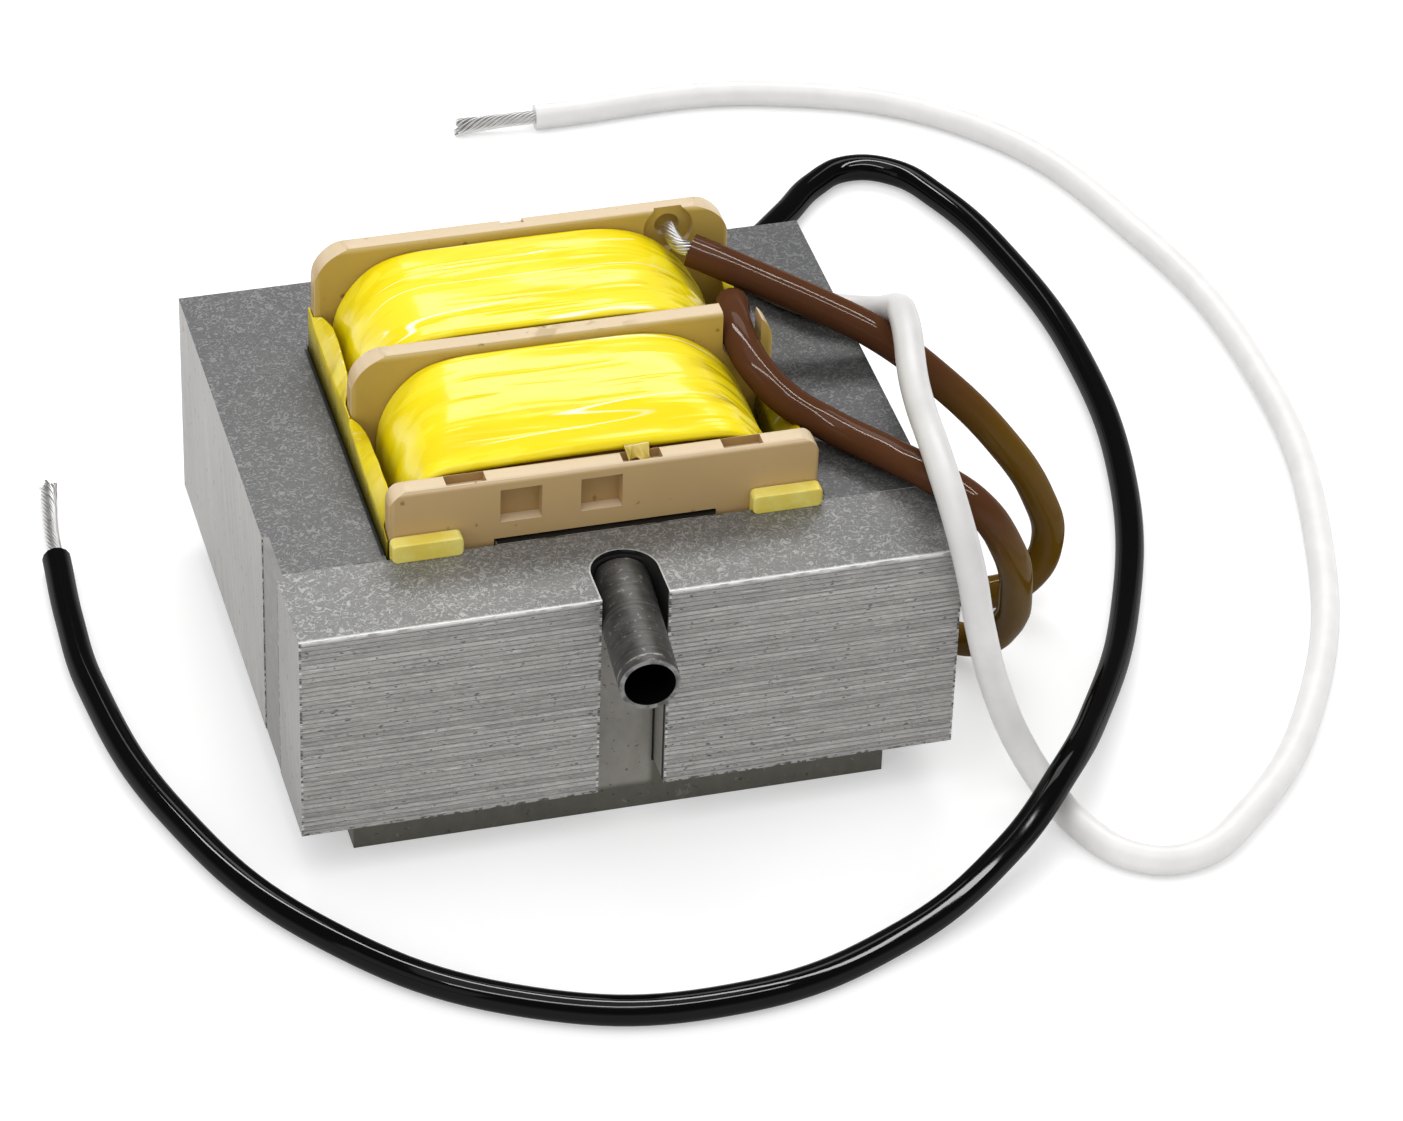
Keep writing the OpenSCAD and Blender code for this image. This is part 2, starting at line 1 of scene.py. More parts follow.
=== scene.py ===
"""Looks of the step-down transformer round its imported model: finishes, taped coils, films and leads."""
import math

import bpy
import numpy as np
from mathutils import Matrix, Vector


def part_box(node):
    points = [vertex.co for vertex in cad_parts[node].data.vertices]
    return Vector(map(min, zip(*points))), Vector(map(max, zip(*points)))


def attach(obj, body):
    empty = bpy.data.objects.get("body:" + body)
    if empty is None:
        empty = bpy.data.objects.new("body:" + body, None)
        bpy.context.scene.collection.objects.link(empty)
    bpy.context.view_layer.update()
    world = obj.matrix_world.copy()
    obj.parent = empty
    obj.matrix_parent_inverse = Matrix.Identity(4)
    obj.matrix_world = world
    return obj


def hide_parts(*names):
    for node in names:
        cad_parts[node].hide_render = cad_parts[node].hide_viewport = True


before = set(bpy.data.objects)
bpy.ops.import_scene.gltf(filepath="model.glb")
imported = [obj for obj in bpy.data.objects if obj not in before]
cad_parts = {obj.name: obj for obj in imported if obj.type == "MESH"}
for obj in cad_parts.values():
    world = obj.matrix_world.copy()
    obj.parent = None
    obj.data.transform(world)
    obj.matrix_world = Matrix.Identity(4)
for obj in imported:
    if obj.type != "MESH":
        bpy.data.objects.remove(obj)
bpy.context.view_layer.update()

MM = 0.001
PHOTO_W = 1403

# Camera, fitted to the corners of the core: it turns about the middle of the core's underside
CAMERA_TARGET = Vector((0, 0, 6.4)) * MM
CAMERA_AZIMUTH = math.radians(-16.446)
CAMERA_ELEVATION = math.radians(36.885)
CAMERA_ROLL = math.radians(2.070)
CAMERA_DISTANCE = 669.10 * MM
CAMERA_SHIFT = (17.018 * MM, 5.710 * MM)
FOCAL_PX = 5657.5
SENSOR_MM = 36

# Leads: diameters, and routes in millimetres from the bobbin to the end of the insulation
MAINS_LEAD_D = 3.5
BROWN_LEAD_D = 4.0
STRAND_D = 1.86
BLACK_ROUTE = [
    (2, 19, 38.2), (2.1, 26, 38.2), (3.8, 33.6, 37), (9.6, 43, 28.4), (19, 52.6, 15.4),
    (31, 62.8, 6.2), (43, 73.4, 2.6), (51.6, 82.2, 1.9), (57, 88, 1.8), (62.6, 91, 1.8),
    (68.2, 89, 1.8), (72.4, 82, 1.8), (77, 65, 1.8), (79, 42, 1.8), (76, 15, 1.8),
    (67.6, -10.4, 2.1), (56.2, -32.4, 5.2), (49, -43, 6.7), (39.4, -52.4, 4.5), (24.6, -61.2, 2),
    (3, -67, 1.8), (-18.5, -62.4, 1.8), (-38, -46, 1.8), (-50.4, -21.5, 1.8), (-55.3, 4, 1.8),
    (-55.5, 17, 1.8), (-54.9, 29, 1.8)]
BLACK_BARE = [(-54.9, 29, 1.8), (-54.7, 33, 1.8), (-53.2, 45, 1.1)]
WHITE_ROUTE = [
    (8.5, 19, 38.2), (8.5, 23.2, 38.2), (10.6, 29, 37.2), (15.4, 31, 36), (21, 28.6, 35.5),
    (26.1, 24.2, 35.6), (34.2, 14.1, 35.6), (40.4, 9.7, 36.5), (42.1, 6, 39.1), (41.8, 3, 40.3),
    (39, -11.4, 40), (37.2, -27, 40.4), (37.2, -33.4, 38), (38, -37, 33), (39.8, -37, 24),
    (43, -36, 13), (46, -37.2, 5.6), (48.2, -41.6, 2.4), (50.2, -48, 1.8), (54.6, -54.2, 1.8),
    (60.6, -55.4, 1.8), (69, -50, 1.8), (83.5, -32, 1.8), (96, 0, 1.8), (100.5, 34, 1.8),
    (96, 67, 1.8), (82, 97.5, 1.8), (57, 111.5, 1.8), (25, 112.5, 1.8)]
WHITE_BARE = [(25, 112.5, 1.8), (21.8, 112.6, 1.8), (14, 113.4, 1.1)]
BROWN_REAR_ROUTE = [
    (19.2, 15, 44.8), (22.2, 13.2, 43.9), (27, 10.9, 42), (33, 8, 39.6), (39.5, 4.6, 36.6),
    (46, 1.1, 31.7), (53, -2.2, 24.2), (57.8, -3.7, 16.2), (59.4, -4, 9.6), (57.4, -4.2, 4.8),
    (53.4, -3.6, 2.5), (49, -1.2, 2.1), (45.8, 4, 2), (44.6, 13, 2), (43.6, 33, 2),
    (36, 43.3, 2), (12, 44.5, 2)]
BROWN_REAR_BARE = [(12, 44.5, 2), (8, 44.7, 2), (2, 44.8, 1.2)]
BROWN_KEYHOLE_BARE = [(17.5, 19, 45.7), (17.6, 17.2, 45.5), (18.2, 15.6, 45.1), (19.2, 15, 44.8)]
BROWN_FRONT_ROUTE = [
    (23.8, 11.8, 36.4), (23.3, 10.4, 39), (22.4, 7.8, 41.3), (21.4, 4, 42.5), (21, -0.4, 42.4),
    (21.8, -4.6, 41), (24.6, -8, 38.4), (28.8, -11, 36.3), (34.2, -17.8, 36), (38, -23.8, 36.2),
    (41.8, -27.2, 34.2), (45.6, -27.4, 28), (48.8, -23, 17.4), (49.6, -18.4, 9.4), (47.8, -14, 3.9),
    (43.6, -8.4, 2.4), (40, 2, 2), (39.4, 27, 2), (32, 38.8, 2), (16, 39.6, 2)]
BROWN_FRONT_BARE = [(16, 39.6, 2), (12, 39.8, 2), (6, 39.9, 1.2)]

# Bare ends: thin wires twisted round a thicker heart
WIRES = 12
WIRE_D = 0.4
TWIST_PITCH = 11
WIRE_POINTS = 14

# Heights of the coils above the stack at their front and rear ends, their crowns and upper shoulders
FRONT_COIL = {"node": "front_tape", "low": 8.7, "high": 12.3, "crown": 0.7}
REAR_COIL = {"node": "rear_tape", "low": 13.2, "high": 13.9, "crown": 0.4}
LEFT_SHOULDER_R = 11.2
RIGHT_SHOULDER_R = 15.8
LOWER_CORNER_R = 2.5
TAPE_T = 0.5

# Films: places along Y, and there the depth from the window's wall and the height above the stack
# of the sheet's bend, of its fold and of its free edge
FILM_SECTIONS = {
    "film_rear_left": [
        (21.1, (0.28, 5.4), (0.28, 5.5), (0.28, 5.6)), (18.7, (0.28, 5.4), (0.3, 5.5), (0.35, 5.6)),
        (18.2, (0.28, 5.3), (0.8, 5.8), (1.25, 6)), (15, (0.28, 4.8), (1.1, 6), (1.9, 6.6)),
        (10, (0.28, 4.3), (1, 5.7), (1.7, 6.7)), (5.5, (0.28, 4.6), (0.9, 5.7), (1.45, 6.6)),
        (2.2, (0.28, 5.2), (0.5, 5.7), (0.8, 6.2)), (1.6, (0.28, 5.2), (0.28, 5.3), (0.28, 5.4)),
        (-1.1, (0.28, 5), (0.28, 5.1), (0.28, 5.2))],
    "film_front_left": [
        (-1.2, (0.28, 5), (0.28, 5.1), (0.28, 5.2)), (-1.6, (0.28, 4.9), (0.7, 4.8), (1.1, 4.6)),
        (-3, (0.28, 4.6), (1, 4.5), (1.7, 4.3)), (-6, (0.28, 3.9), (1, 4.3), (1.75, 4.5)),
        (-9.5, (0.28, 3.1), (1, 3.9), (1.75, 4.7)), (-14, (0.28, 2.6), (0.95, 3.7), (1.65, 4.8)),
        (-17.7, (0.28, 2.3), (0.9, 3.6), (1.5, 5)), (-18.2, (0.28, 2.2), (0.28, 2.4), (0.28, 2.5)),
        (-20.6, (0.28, 1.6), (0.28, 1.7), (0.28, 1.8))],
    "film_rear_right": [
        (18.4, (0.28, 5), (0.9, 5.4), (1.6, 5.6)), (16, (0.28, 3.2), (0.9, 3.5), (1.5, 3.6)),
        (14, (0.28, 1.5), (0.6, 1.6), (1, 1.5)), (11, (0.28, 1.1), (0.4, 1.2), (0.6, 1.2)),
        (1.8, (0.28, 1.1), (0.4, 1.2), (0.6, 1.2))],
    "film_front_right": [
        (-1.2, (2, 1.7), (2.2, 1.5), (2.5, -1)), (-4.5, (1, 2), (2.2, 1.4), (2.6, -1.6)),
        (-7, (0.3, 2.1), (2.2, 1.2), (2.7, -2)), (-9.5, (0.28, 2.2), (2.2, 1), (2.7, -2)),
        (-11.5, (0.28, 3.2), (2.2, 1.2), (2.7, -2)), (-14, (0.28, 3.7), (2.2, 1.3), (2.7, -2)),
        (-18, (0.28, 4.2), (2.1, 1.4), (2.6, -2))]}
# Films: thickness, the window's wall, the gap to it, the height where the fold starts, the free edge's wave,
# and the points along a film and up each of its sections
FILM_T = 0.2
WINDOW_WALL = 25.4
FILM_GAP = 0.28
FILM_FOLD_START = -3.0
FILM_WAVE = 0.12
FILM_COLUMNS = 90
FILM_STEPS = 8

# Shells of the coils: points along Y, the top's arch from side to side, how far the top and the shoulders
# blend, the rolled edges, the counts of creases and pleats, and the height over which these fade in
COIL_COLUMNS = 150
COIL_EDGE = 0.05
ARCH = 0.7
BLEND = 2.2
ROLL_R = 0.6
ROLL_SHARE = 0.6
CREASES = 34
PLEATS = 16
CREASE_FADE = 3

# Torn tail of the front coil's tape: its range along X, its start and end along Y, its height above the stack
TAIL_X = (2.6, 5.6)
TAIL_Y = (-17.9, -19.6)
TAIL_Z = 8.75
TAIL_DROP = 1.1
TAIL_T = 0.08

# Packed triangles closer than this are joined before their edges are rounded
WELD_GAP = 0.01

# Lights: place, width and height in metres, and radiance
SOFT_BOXES = {
    "back_box": ((0.25, 0.75, 0.95), 0.8, 0.4, 5),
    "top_box": ((-0.2, -0.25, 1.2), 1.0, 1.0, 1.5),
    "side_box": ((-1.1, -0.6, 0.5), 0.8, 0.6, 1.1)}
STRIP_LIGHTS = {
    "rear_strip": ((0.2, 0.24, 1.2), 2.2, 0.16, 44),
    "front_strip": ((-0.1, -0.6, 1.2), 1.6, 0.13, 36)}
WORLD_COLOUR = (0.75, 0.75, 0.75)
FLOOR_COLOUR = (0.72, 0.72, 0.72)
FLOOR_GLOW = 0.39
FLOOR_HALF = 6


def corners(node):
    """Lowest and highest corner of a node, in millimetres."""
    low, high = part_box(node)
    return np.array(low) / MM, np.array(high) / MM


STACK_LOW, STACK_HIGH = corners("e_stack")
YOKE_FRONT = corners("i_stack")[0][1]
WELD_LOW, WELD_HIGH = corners("weld_left")
CORE_TOP = float(STACK_HIGH[2])
CORE_FLOOR = float(STACK_LOW[2])
SHEETS = 43
SHEET_T = (CORE_TOP - CORE_FLOOR) / SHEETS
SLEEVE_ORIGIN = Vector((0, -29.35, 29.955)) * MM
SLEEVE_AXIS = Vector((-0.069733, -0.997223, -0.026177))
SLEEVE_BORE_R = 2.9
SLEEVE_MARK = 14.4
SLOT_HALF = 3.85
SLOT_ROUND_Y = -29.35
FAR = 1000

# Places that marks of the finishes and painted light and shade go by, in millimetres: a mark fades in from
# the first to the second
FRONT_YOKE_Y = (-23, -24.5)
FLANGE_GAP_X = (13.5, 13)
FLANGE_GAP_REAR = (-19.4, -20)
FLANGE_GAP_FRONT = (-21.75, -21.6)
WINDOW_X = (25.9, 25.7)
WINDOW_Y = (20.9, 20.5)
SLOT_WALL_Y = (-33.5, -33)
SLOT_WALL_Z = (CORE_TOP - 11, CORE_TOP - 14)
TONGUE_Y = (-20, -22)
TONGUE_Z = (CORE_FLOOR - 3.4, CORE_FLOOR - 2.4)
TAPE_BOUNCE_Y = (-6, -4)
POCKET_FRONT = (-20.6, -20.4)
POCKET_REAR = (-18, -18.2)
STAIN_MIDDLE = 1
STAIN_X = (9, 5)
STAIN_Y = (3, 2)
PLEATS_X = (12, 18)
FILM_FOOT_SHADE_Z = (CORE_TOP + 4.2, CORE_TOP + 0.2)
INSULATION_LIGHT_Z = (23, 36)


class Nodes:
    """The nodes of a material or of the world. Most methods add nodes and give back an output."""

    def __init__(self, tree):
        self.tree = tree

    def set(self, socket, value):
        if isinstance(value, bpy.types.NodeSocket):
            self.tree.links.new(value, socket)
        elif socket.type == "RGBA":
            socket.default_value = (*value, 1)
        else:
            socket.default_value = value

    def node(self, kind, inputs=(), output=0, **settings):
        node = self.tree.nodes.new("ShaderNode" + kind)
        for name, value in settings.items():
            setattr(node, name, value)
        for key, value in dict(inputs).items():
            self.set(node.inputs[key], value)
        return node.outputs[output]

    def split(self, vector):
        separate = self.node("SeparateXYZ", {"Vector": vector}).node
        return separate.outputs[0], separate.outputs[1], separate.outputs[2]

    def math(self, operation, a, b=0.0):
        return self.node("Math", {0: a, 1: b}, operation=operation)

    def size(self, value):
        return self.math("ABSOLUTE", value)

    def apart(self, a, b):
        """How far apart two values are."""
        return self.size(self.math("SUBTRACT", a, b))

    def both(self, a, *others):
        """Product of masks or factors."""
        for other in others:
            a = self.math("MULTIPLY", a, other)
        return a

    def either(self, a, b):
        return self.math("MAXIMUM", a, b)

    def seen_rays(self):
        """1 for the rays that show the background: camera, mirror and see-through ones."""
        path = self.node("LightPath").node
        seen = path.outputs["Is Camera Ray"]
        for name in ("Is Glossy Ray", "Is Transmission Ray"):
            seen = self.either(seen, path.outputs[name])
        return seen


class Shader(Nodes):
    """One material, which goes by places and normals in the object's own axes."""

    def __init__(self, name):
        self.material = bpy.data.materials.new(name)
        self.material.use_nodes = True
        super().__init__(self.material.node_tree)
        self.bsdf = self.tree.nodes["Principled BSDF"]
        self.place = self.node("TexCoord", output="Object")
        self.normal = self.node("TexCoord", output="Normal")

    def surface(self, **inputs):
        for name, value in inputs.items():
            self.set(self.bsdf.inputs[name.replace("_", " ")], value)

    def noise(self, scale, stretch=(1, 1, 1), turn=(0, 0, 0), detail=3.0, distortion=0.0):
        """Noise with scale bumps to the metre, times stretch along each axis, in axes turned by turn."""
        place = self.node("Mapping", {"Vector": self.place, "Rotation": turn})
        place = self.node("Mapping", {"Vector": place, "Scale": stretch})
        return self.node("TexNoise", {"Vector": place, "Scale": scale, "Detail": detail,
                                      "Distortion": distortion})

    def step_noise(self, value):
        """One random number for each whole step of a value."""
        return self.node("TexWhiteNoise", {"W": self.math("FLOOR", value)}, noise_dimensions="1D")

    def mask(self, value, zero, one):
        """0 where the value is zero's, 1 where it is one's, and smooth between them."""
        return self.node("MapRange", {"Value": value, "From Min": zero, "From Max": one},
                         interpolation_type="SMOOTHSTEP")

    def reach(self, value, zero, one):
        """The mask of a place, with its limits in millimetres."""
        return self.mask(value, zero * MM, one * MM)

    def range(self, value, low, high):
        return self.node("MapRange", {"Value": value, "To Min": low, "To Max": high})

    def mix(self, factor, a, b):
        return self.node("Mix", {0: factor, 6: a, 7: b}, output=2, data_type="RGBA")

    def cover(self, colour, other, mask, amount=1.0):
        """The colour with another one over it where the mask is 1, as densely as amount."""
        return self.mix(self.both(mask, amount), colour, other)

    def tone(self, colour, factor):
        """The colour made darker or lighter by a factor that may vary."""
        grey = self.node("CombineColor", {0: factor, 1: factor, 2: factor})
        return self.node("Mix", {0: 1.0, 6: colour, 7: grey}, output=2, data_type="RGBA",
                         blend_type="MULTIPLY")

    def bump(self, height, distance, strength):
        """Bump of the given height in millimetres."""
        normal = self.node("Bump", {"Height": height, "Distance": distance * MM, "Strength": strength})
        self.surface(Normal=normal)


class SheetSteel(Shader):
    """Stacked sheets, with textures that their flat faces, edges and sides share."""

    def __init__(self, name, front):
        super().__init__(name)
        self.front = front
        self.x, self.y, self.z = self.split(self.place)
        self.from_middle = self.size(self.x)
        self.front_yoke = self.reach(self.y, *FRONT_YOKE_Y)
        self.level = self.math("DIVIDE", self.math("SUBTRACT", self.z, CORE_FLOOR * MM), SHEET_T * MM)
        self.cloud = self.range(self.noise(70, detail=4), 0.78, 1.22)
        self.grain = self.range(self.noise(2600, detail=2), 0.75, 1.25)
        self.streaks = self.range(self.noise(1, (110, 110, 2600), detail=4), 0.75, 1.25)
        self.grit = self.noise(1, (1300, 1300, 2600), detail=3)
        winding = self.noise(1050, detail=1.0, distortion=1.4)
        self.worms = self.mask(self.apart(winding, 0.5), 0.07, 0.0)

    def top(self, colour):
        """Flat faces: fine winding lines as on rolled sheet, painted light that fades from left to right,
        worn edges with a painted highlight, and painted black shade in the gaps at the bobbin.
        """
        # Painted light: the top is lighter on the left and darker on the right.
        painted_light_slope = self.node("MapRange", {"Value": self.x, "From Min": STACK_LOW[0] * MM,
                                      "From Max": STACK_HIGH[0] * MM, "To Min": 1.15, "To Max": 0.82})
        tone_and_painted_light = self.both(self.cloud, painted_light_slope)
        face = self.tone(colour, self.both(tone_and_painted_light, self.grain))
        face = self.cover(face, self.tone(colour, self.both(tone_and_painted_light, 2.6)), self.worms, 0.65)
        beyond = self.either(self.math("SUBTRACT", self.y, SLOT_ROUND_Y * MM), 0.0)
        from_slot = self.math("SQRT", self.math("ADD", self.both(self.x, self.x), self.both(beyond, beyond)))
        # Painted highlight along the slot's rim, and wear with a painted highlight along the front edge.
        slot_rim_highlight = self.reach(from_slot, SLOT_HALF + 0.25, SLOT_HALF + 0.1)
        worn = self.either(self.reach(self.y, self.front + 0.5, self.front), self.both(0.4, slot_rim_highlight))
        face = self.cover(face, (0.8, 0.8, 0.79), worn, 0.9)
        # Painted shade: black on the core's top in the gaps under the front flange and beside the window.
        flange_gap_shade = self.both(self.reach(self.from_middle, *FLANGE_GAP_X),
                               self.reach(self.y, *FLANGE_GAP_REAR), self.reach(self.y, *FLANGE_GAP_FRONT))
        window = self.both(self.reach(self.from_middle, *WINDOW_X), self.reach(self.size(self.y), *WINDOW_Y))
        return self.cover(face, (0.004, 0.004, 0.004), self.either(flange_gap_shade, window), 0.96)

    def edges(self, colour):
        """The sheets' edges: a tone for each sheet, streaks, broken seams, painted glints, pits, toothed
        corners, and a painted highlight with wear along the top.
        """
        sheet_tone = self.range(self.step_noise(self.level), 0.82, 1.18)
        face = self.tone(colour, self.both(sheet_tone, self.streaks, self.range(self.grit, 0.6, 1.4)))
        waver = self.range(self.noise(1, (330, 330, 500), detail=4), -0.3, 0.3)
        from_seam = self.math("PINGPONG", self.math("ADD", self.level, waver), 0.5)
        seam = self.both(self.mask(from_seam, 0.2, 0.03), self.mask(waver, -0.16, 0.1))
        face = self.cover(face, (0.045, 0.044, 0.042), seam, 0.75)
        # Painted highlight: pale glints on the sheets' edges.
        glints = self.mask(self.noise(1, (260, 260, 3300), detail=3), 0.6, 0.72)
        face = self.cover(face, (0.72, 0.71, 0.69), glints, 0.6)
        pits = self.mask(self.grit, 0.63, 0.7)
        face = self.cover(face, (0.03, 0.03, 0.03), pits, 0.8)
        outer_corner = self.reach(self.from_middle, STACK_HIGH[0] - 0.35, STACK_HIGH[0] - 0.15)
        slot_corner = self.reach(self.from_middle, SLOT_HALF + 0.4, SLOT_HALF + 0.15)
        corner = self.either(outer_corner, self.both(self.front_yoke, slot_corner))
        tooth = self.step_noise(self.both(self.level, 1.5))
        face = self.cover(face, (0.6, 0.6, 0.59), self.both(corner, self.mask(tooth, 0.6, 0.75)))
        face = self.cover(face, (0.08, 0.08, 0.08), self.both(corner, self.mask(tooth, 0.4, 0.25)))
        foot = self.both(self.mask(self.level, 0.8, 0.3), self.mask(self.grit, 0.5, 0.56))
        face = self.cover(face, (0.04, 0.04, 0.04), foot, 0.8)
        # Painted highlight with wear: a pale, broken line along the top edge.
        rim = self.both(self.reach(self.z, CORE_TOP - 0.45, CORE_TOP - 0.1),
                        self.mask(self.noise(500, detail=3), 0.35, 0.55))
        return self.cover(face, (0.86, 0.86, 0.85), rim, 0.8)

    def sides(self, colour):
        """Left and right sides: oblique scores and specks, and dark dots along the weld strip."""
        slant = (math.radians(14), 0, 0)
        scores = self.range(self.noise(1, (1, 1700, 60), slant, detail=4), 0.72, 1.28)
        face = self.tone(colour, self.both(scores, self.cloud))
        specks = self.mask(self.noise(1, (1, 1300, 700), slant, detail=2), 0.64, 0.72)
        face = self.cover(face, (0.1, 0.1, 0.1), specks, 0.6)
        from_weld = self.math("MINIMUM", self.apart(self.y, WELD_LOW[1] * MM),
                              self.apart(self.y, WELD_HIGH[1] * MM))
        dots = self.both(self.reach(from_weld, 0.45, 0.15),
                         self.mask(self.noise(1, (1, 300, 1500), detail=2), 0.42, 0.5))
        return self.cover(face, (0.04, 0.04, 0.04), dots, 0.85)


def sheet_steel(name, top_colour, edge_colour, side_colour, front):
    """Finish of a stack, whose front edge is at front; the slot's wall is painted black as shade, and painted
    a lit grey lower down.
    """
    s = SheetSteel(name, front)
    nx, _, nz = s.split(s.normal)
    flat = s.mask(s.size(nz), 0.6, 0.8)
    sideways = s.mask(s.size(nx), 0.6, 0.8)
    colour = s.mix(flat, s.mix(sideways, s.edges(edge_colour), s.sides(side_colour)), s.top(top_colour))
    # Painted shade: the slot's wall is black, with no metal or sheen.
    slot_wall_shade = s.both(s.front_yoke, s.reach(s.from_middle, SLOT_HALF + 0.1, SLOT_HALF),
                       s.reach(s.y, front, front + 0.6), s.mask(nz, 0.6, 0.4))
    colour = s.cover(colour, (0.01, 0.01, 0.01), slot_wall_shade, 0.95)
    # Painted light: lower down, behind the front edge, the wall is a lit grey like the tongue.
    painted_lit_wall = s.both(slot_wall_shade, s.reach(s.z, *SLOT_WALL_Z), s.reach(s.y, *SLOT_WALL_Y))
    colour = s.cover(colour, s.tone((0.34, 0.325, 0.29), s.both(s.cloud, s.grain)), painted_lit_wall)
    s.surface(Base_Color=colour, Metallic=s.range(slot_wall_shade, 0.35, 0), Roughness=s.range(flat, 0.52, 0.4),
              Specular_IOR_Level=s.range(slot_wall_shade, 0.5, 0))
    s.bump(s.mix(flat, s.both(s.streaks, s.grit), s.both(s.worms, 0.5)), 0.04, 0.6)
    return s.material


def base_steel():
    """Dull dark plate with specks and scratches; the tongue in the slot is painted paler, as painted light in
    the slot.
    """
    s = Shader("base_steel")
    x, y, z = s.split(s.place)
    cloud = s.range(s.noise(90, detail=5), 0.75, 1.25)
    grain = s.range(s.noise(1, (900, 900, 500), detail=4), 0.8, 1.2)
    # Painted light: the tongue in the slot is paler than the rest of the plate.
    tongue = s.both(s.reach(z, *TONGUE_Z), s.reach(s.size(x), SLOT_HALF, SLOT_HALF - 0.9),
                    s.reach(y, *TONGUE_Y))
    tint_and_painted_light = s.mix(tongue, (0.1, 0.099, 0.078), (0.29, 0.275, 0.245))
    colour = s.tone(tint_and_painted_light, s.both(cloud, grain))
    specks = s.mask(s.noise(1500, detail=2), 0.66, 0.74)
    colour = s.cover(colour, (0.02, 0.02, 0.018), specks, 0.7)
    scratches = s.mask(s.noise(420, detail=3, distortion=1.5), 0.66, 0.72)
    colour = s.cover(colour, (0.3, 0.3, 0.28), scratches, 0.3)
    s.surface(Base_Color=colour, Metallic=0.3, Roughness=s.range(s.noise(300), 0.4, 0.65))
    s.bump(grain, 0.03, 0.5)
    return s.material


def weld_steel():
    s = Shader("weld")
    ripples = s.noise(1, (300, 500, 1500), detail=4)
    colour = s.tone((0.24, 0.235, 0.23), s.range(ripples, 0.7, 1.3))
    s.surface(Base_Color=colour, Metallic=0.4, Roughness=0.5)
    s.bump(ripples, 0.05, 0.6)
    return s.material


def sleeve_steel():
    """Dark blued tube: ring marks from turning, a worn ring and rim, painted black shade in the bore."""
    s = Shader("sleeve_steel")
    offset = s.node("VectorMath", {0: s.place, 1: SLEEVE_ORIGIN}, operation="SUBTRACT")
    along = s.node("VectorMath", {0: offset, 1: SLEEVE_AXIS}, output="Value", operation="DOT_PRODUCT")
    across = s.node("VectorMath", {0: offset, 1: SLEEVE_AXIS}, operation="CROSS_PRODUCT")
    radius = s.node("VectorMath", {0: across}, output="Value", operation="LENGTH")
    facing = s.node("VectorMath", {0: s.normal, 1: SLEEVE_AXIS}, output="Value", operation="DOT_PRODUCT")
    rings = s.node("TexNoise", {"W": along, "Scale": 2600, "Detail": 3}, noise_dimensions="1D")
    mottle = s.noise(700, detail=5)
    colour = s.tone((0.086, 0.084, 0.08), s.both(s.range(rings, 0.55, 1.45), s.range(mottle, 0.3, 1.7)))
    flecks = s.mask(s.noise(1500, detail=3), 0.6, 0.7)
    colour = s.cover(colour, (0.36, 0.35, 0.33), flecks, 0.45)
    collar = s.both(s.reach(s.apart(along, SLEEVE_MARK * MM), 0.25, 0.05), s.mask(mottle, 0.4, 0.6))
    colour = s.cover(colour, (0.5, 0.49, 0.47), collar, 0.7)
    rim = s.both(s.mask(facing, 0.6, 0.9), s.range(s.mask(mottle, 0.4, 0.62), 0.15, 1))
    colour = s.cover(colour, (0.34, 0.34, 0.33), rim, 0.6)
    # Painted shade: the bore is black.
    bore_shade = s.both(s.reach(radius, SLEEVE_BORE_R * 1.06, SLEEVE_BORE_R * 1.02), s.mask(facing, 0.6, 0.4))
    colour = s.mix(bore_shade, colour, (0.004, 0.004, 0.004))
    s.surface(Base_Color=colour, Metallic=0.6, Roughness=s.range(mottle, 0.34, 0.55))
    s.bump(s.both(rings, mottle), 0.06, 0.6)
    return s.material


def bobbin_plastic():
    """Moulded cream plastic: tops painted paler as painted light, painted yellow bounce light beside the
    tape, painted amber shade in the pockets, a stain, brown specks.
    """
    s = Shader("bobbin_plastic")
    x, y, _ = s.split(s.place)
    _, ny, nz = s.split(s.normal)
    upward = s.mask(nz, 0.3, 0.8)
    facing = s.mask(ny, -0.4, -0.7)
    cloud = s.range(s.noise(120, detail=4), 0.94, 1.06)
    # Painted light: faces that look up are paler than the rest.
    colour = s.mix(upward, s.tone((0.5, 0.345, 0.16), cloud), s.tone((0.68, 0.54, 0.36), cloud))
    # Painted light: yellow bounce light from the tape on the faces beside it.
    tape_bounce_light = s.both(facing, s.reach(y, *TAPE_BOUNCE_Y))
    colour = s.cover(colour, s.tone((0.5, 0.35, 0.03), cloud), tape_bounce_light, 0.6)
    # Painted shade: amber inside the pockets.
    pocket_shade = s.both(s.reach(y, *POCKET_FRONT), s.reach(y, *POCKET_REAR),
                    s.either(facing, s.mask(nz, -0.4, -0.7)))
    colour = s.cover(colour, s.tone((0.36, 0.215, 0.075), cloud), pocket_shade, 0.7)
    stain = s.both(s.mask(s.noise(1, (260, 500, 500), detail=4), 0.5, 0.58), upward,
                   s.reach(s.size(y), *STAIN_Y), s.reach(s.apart(x, STAIN_MIDDLE * MM), *STAIN_X))
    colour = s.cover(colour, (0.42, 0.3, 0.13), stain, 0.6)
    specks = s.mask(s.noise(620, detail=2), 0.7, 0.76)
    colour = s.cover(colour, (0.2, 0.1, 0.03), specks, 0.7)
    s.surface(Base_Color=colour, Roughness=s.range(s.noise(300), 0.3, 0.48), Specular_IOR_Level=0.35,
              Subsurface_Weight=0.15, Subsurface_Radius=(0.0025, 0.0015, 0.0006))
    s.bump(s.noise(500, detail=4), 0.02, 0.4)
    return s.material


def copper_wire():
    s = Shader("copper")
    turns = s.noise(1, (100, 1800, 100), detail=2)
    colour = s.tone((0.55, 0.26, 0.1), s.range(turns, 0.6, 1.3))
    s.surface(Base_Color=colour, Metallic=0.7, Roughness=0.35)
    s.bump(turns, 0.05, 0.5)
    return s.material


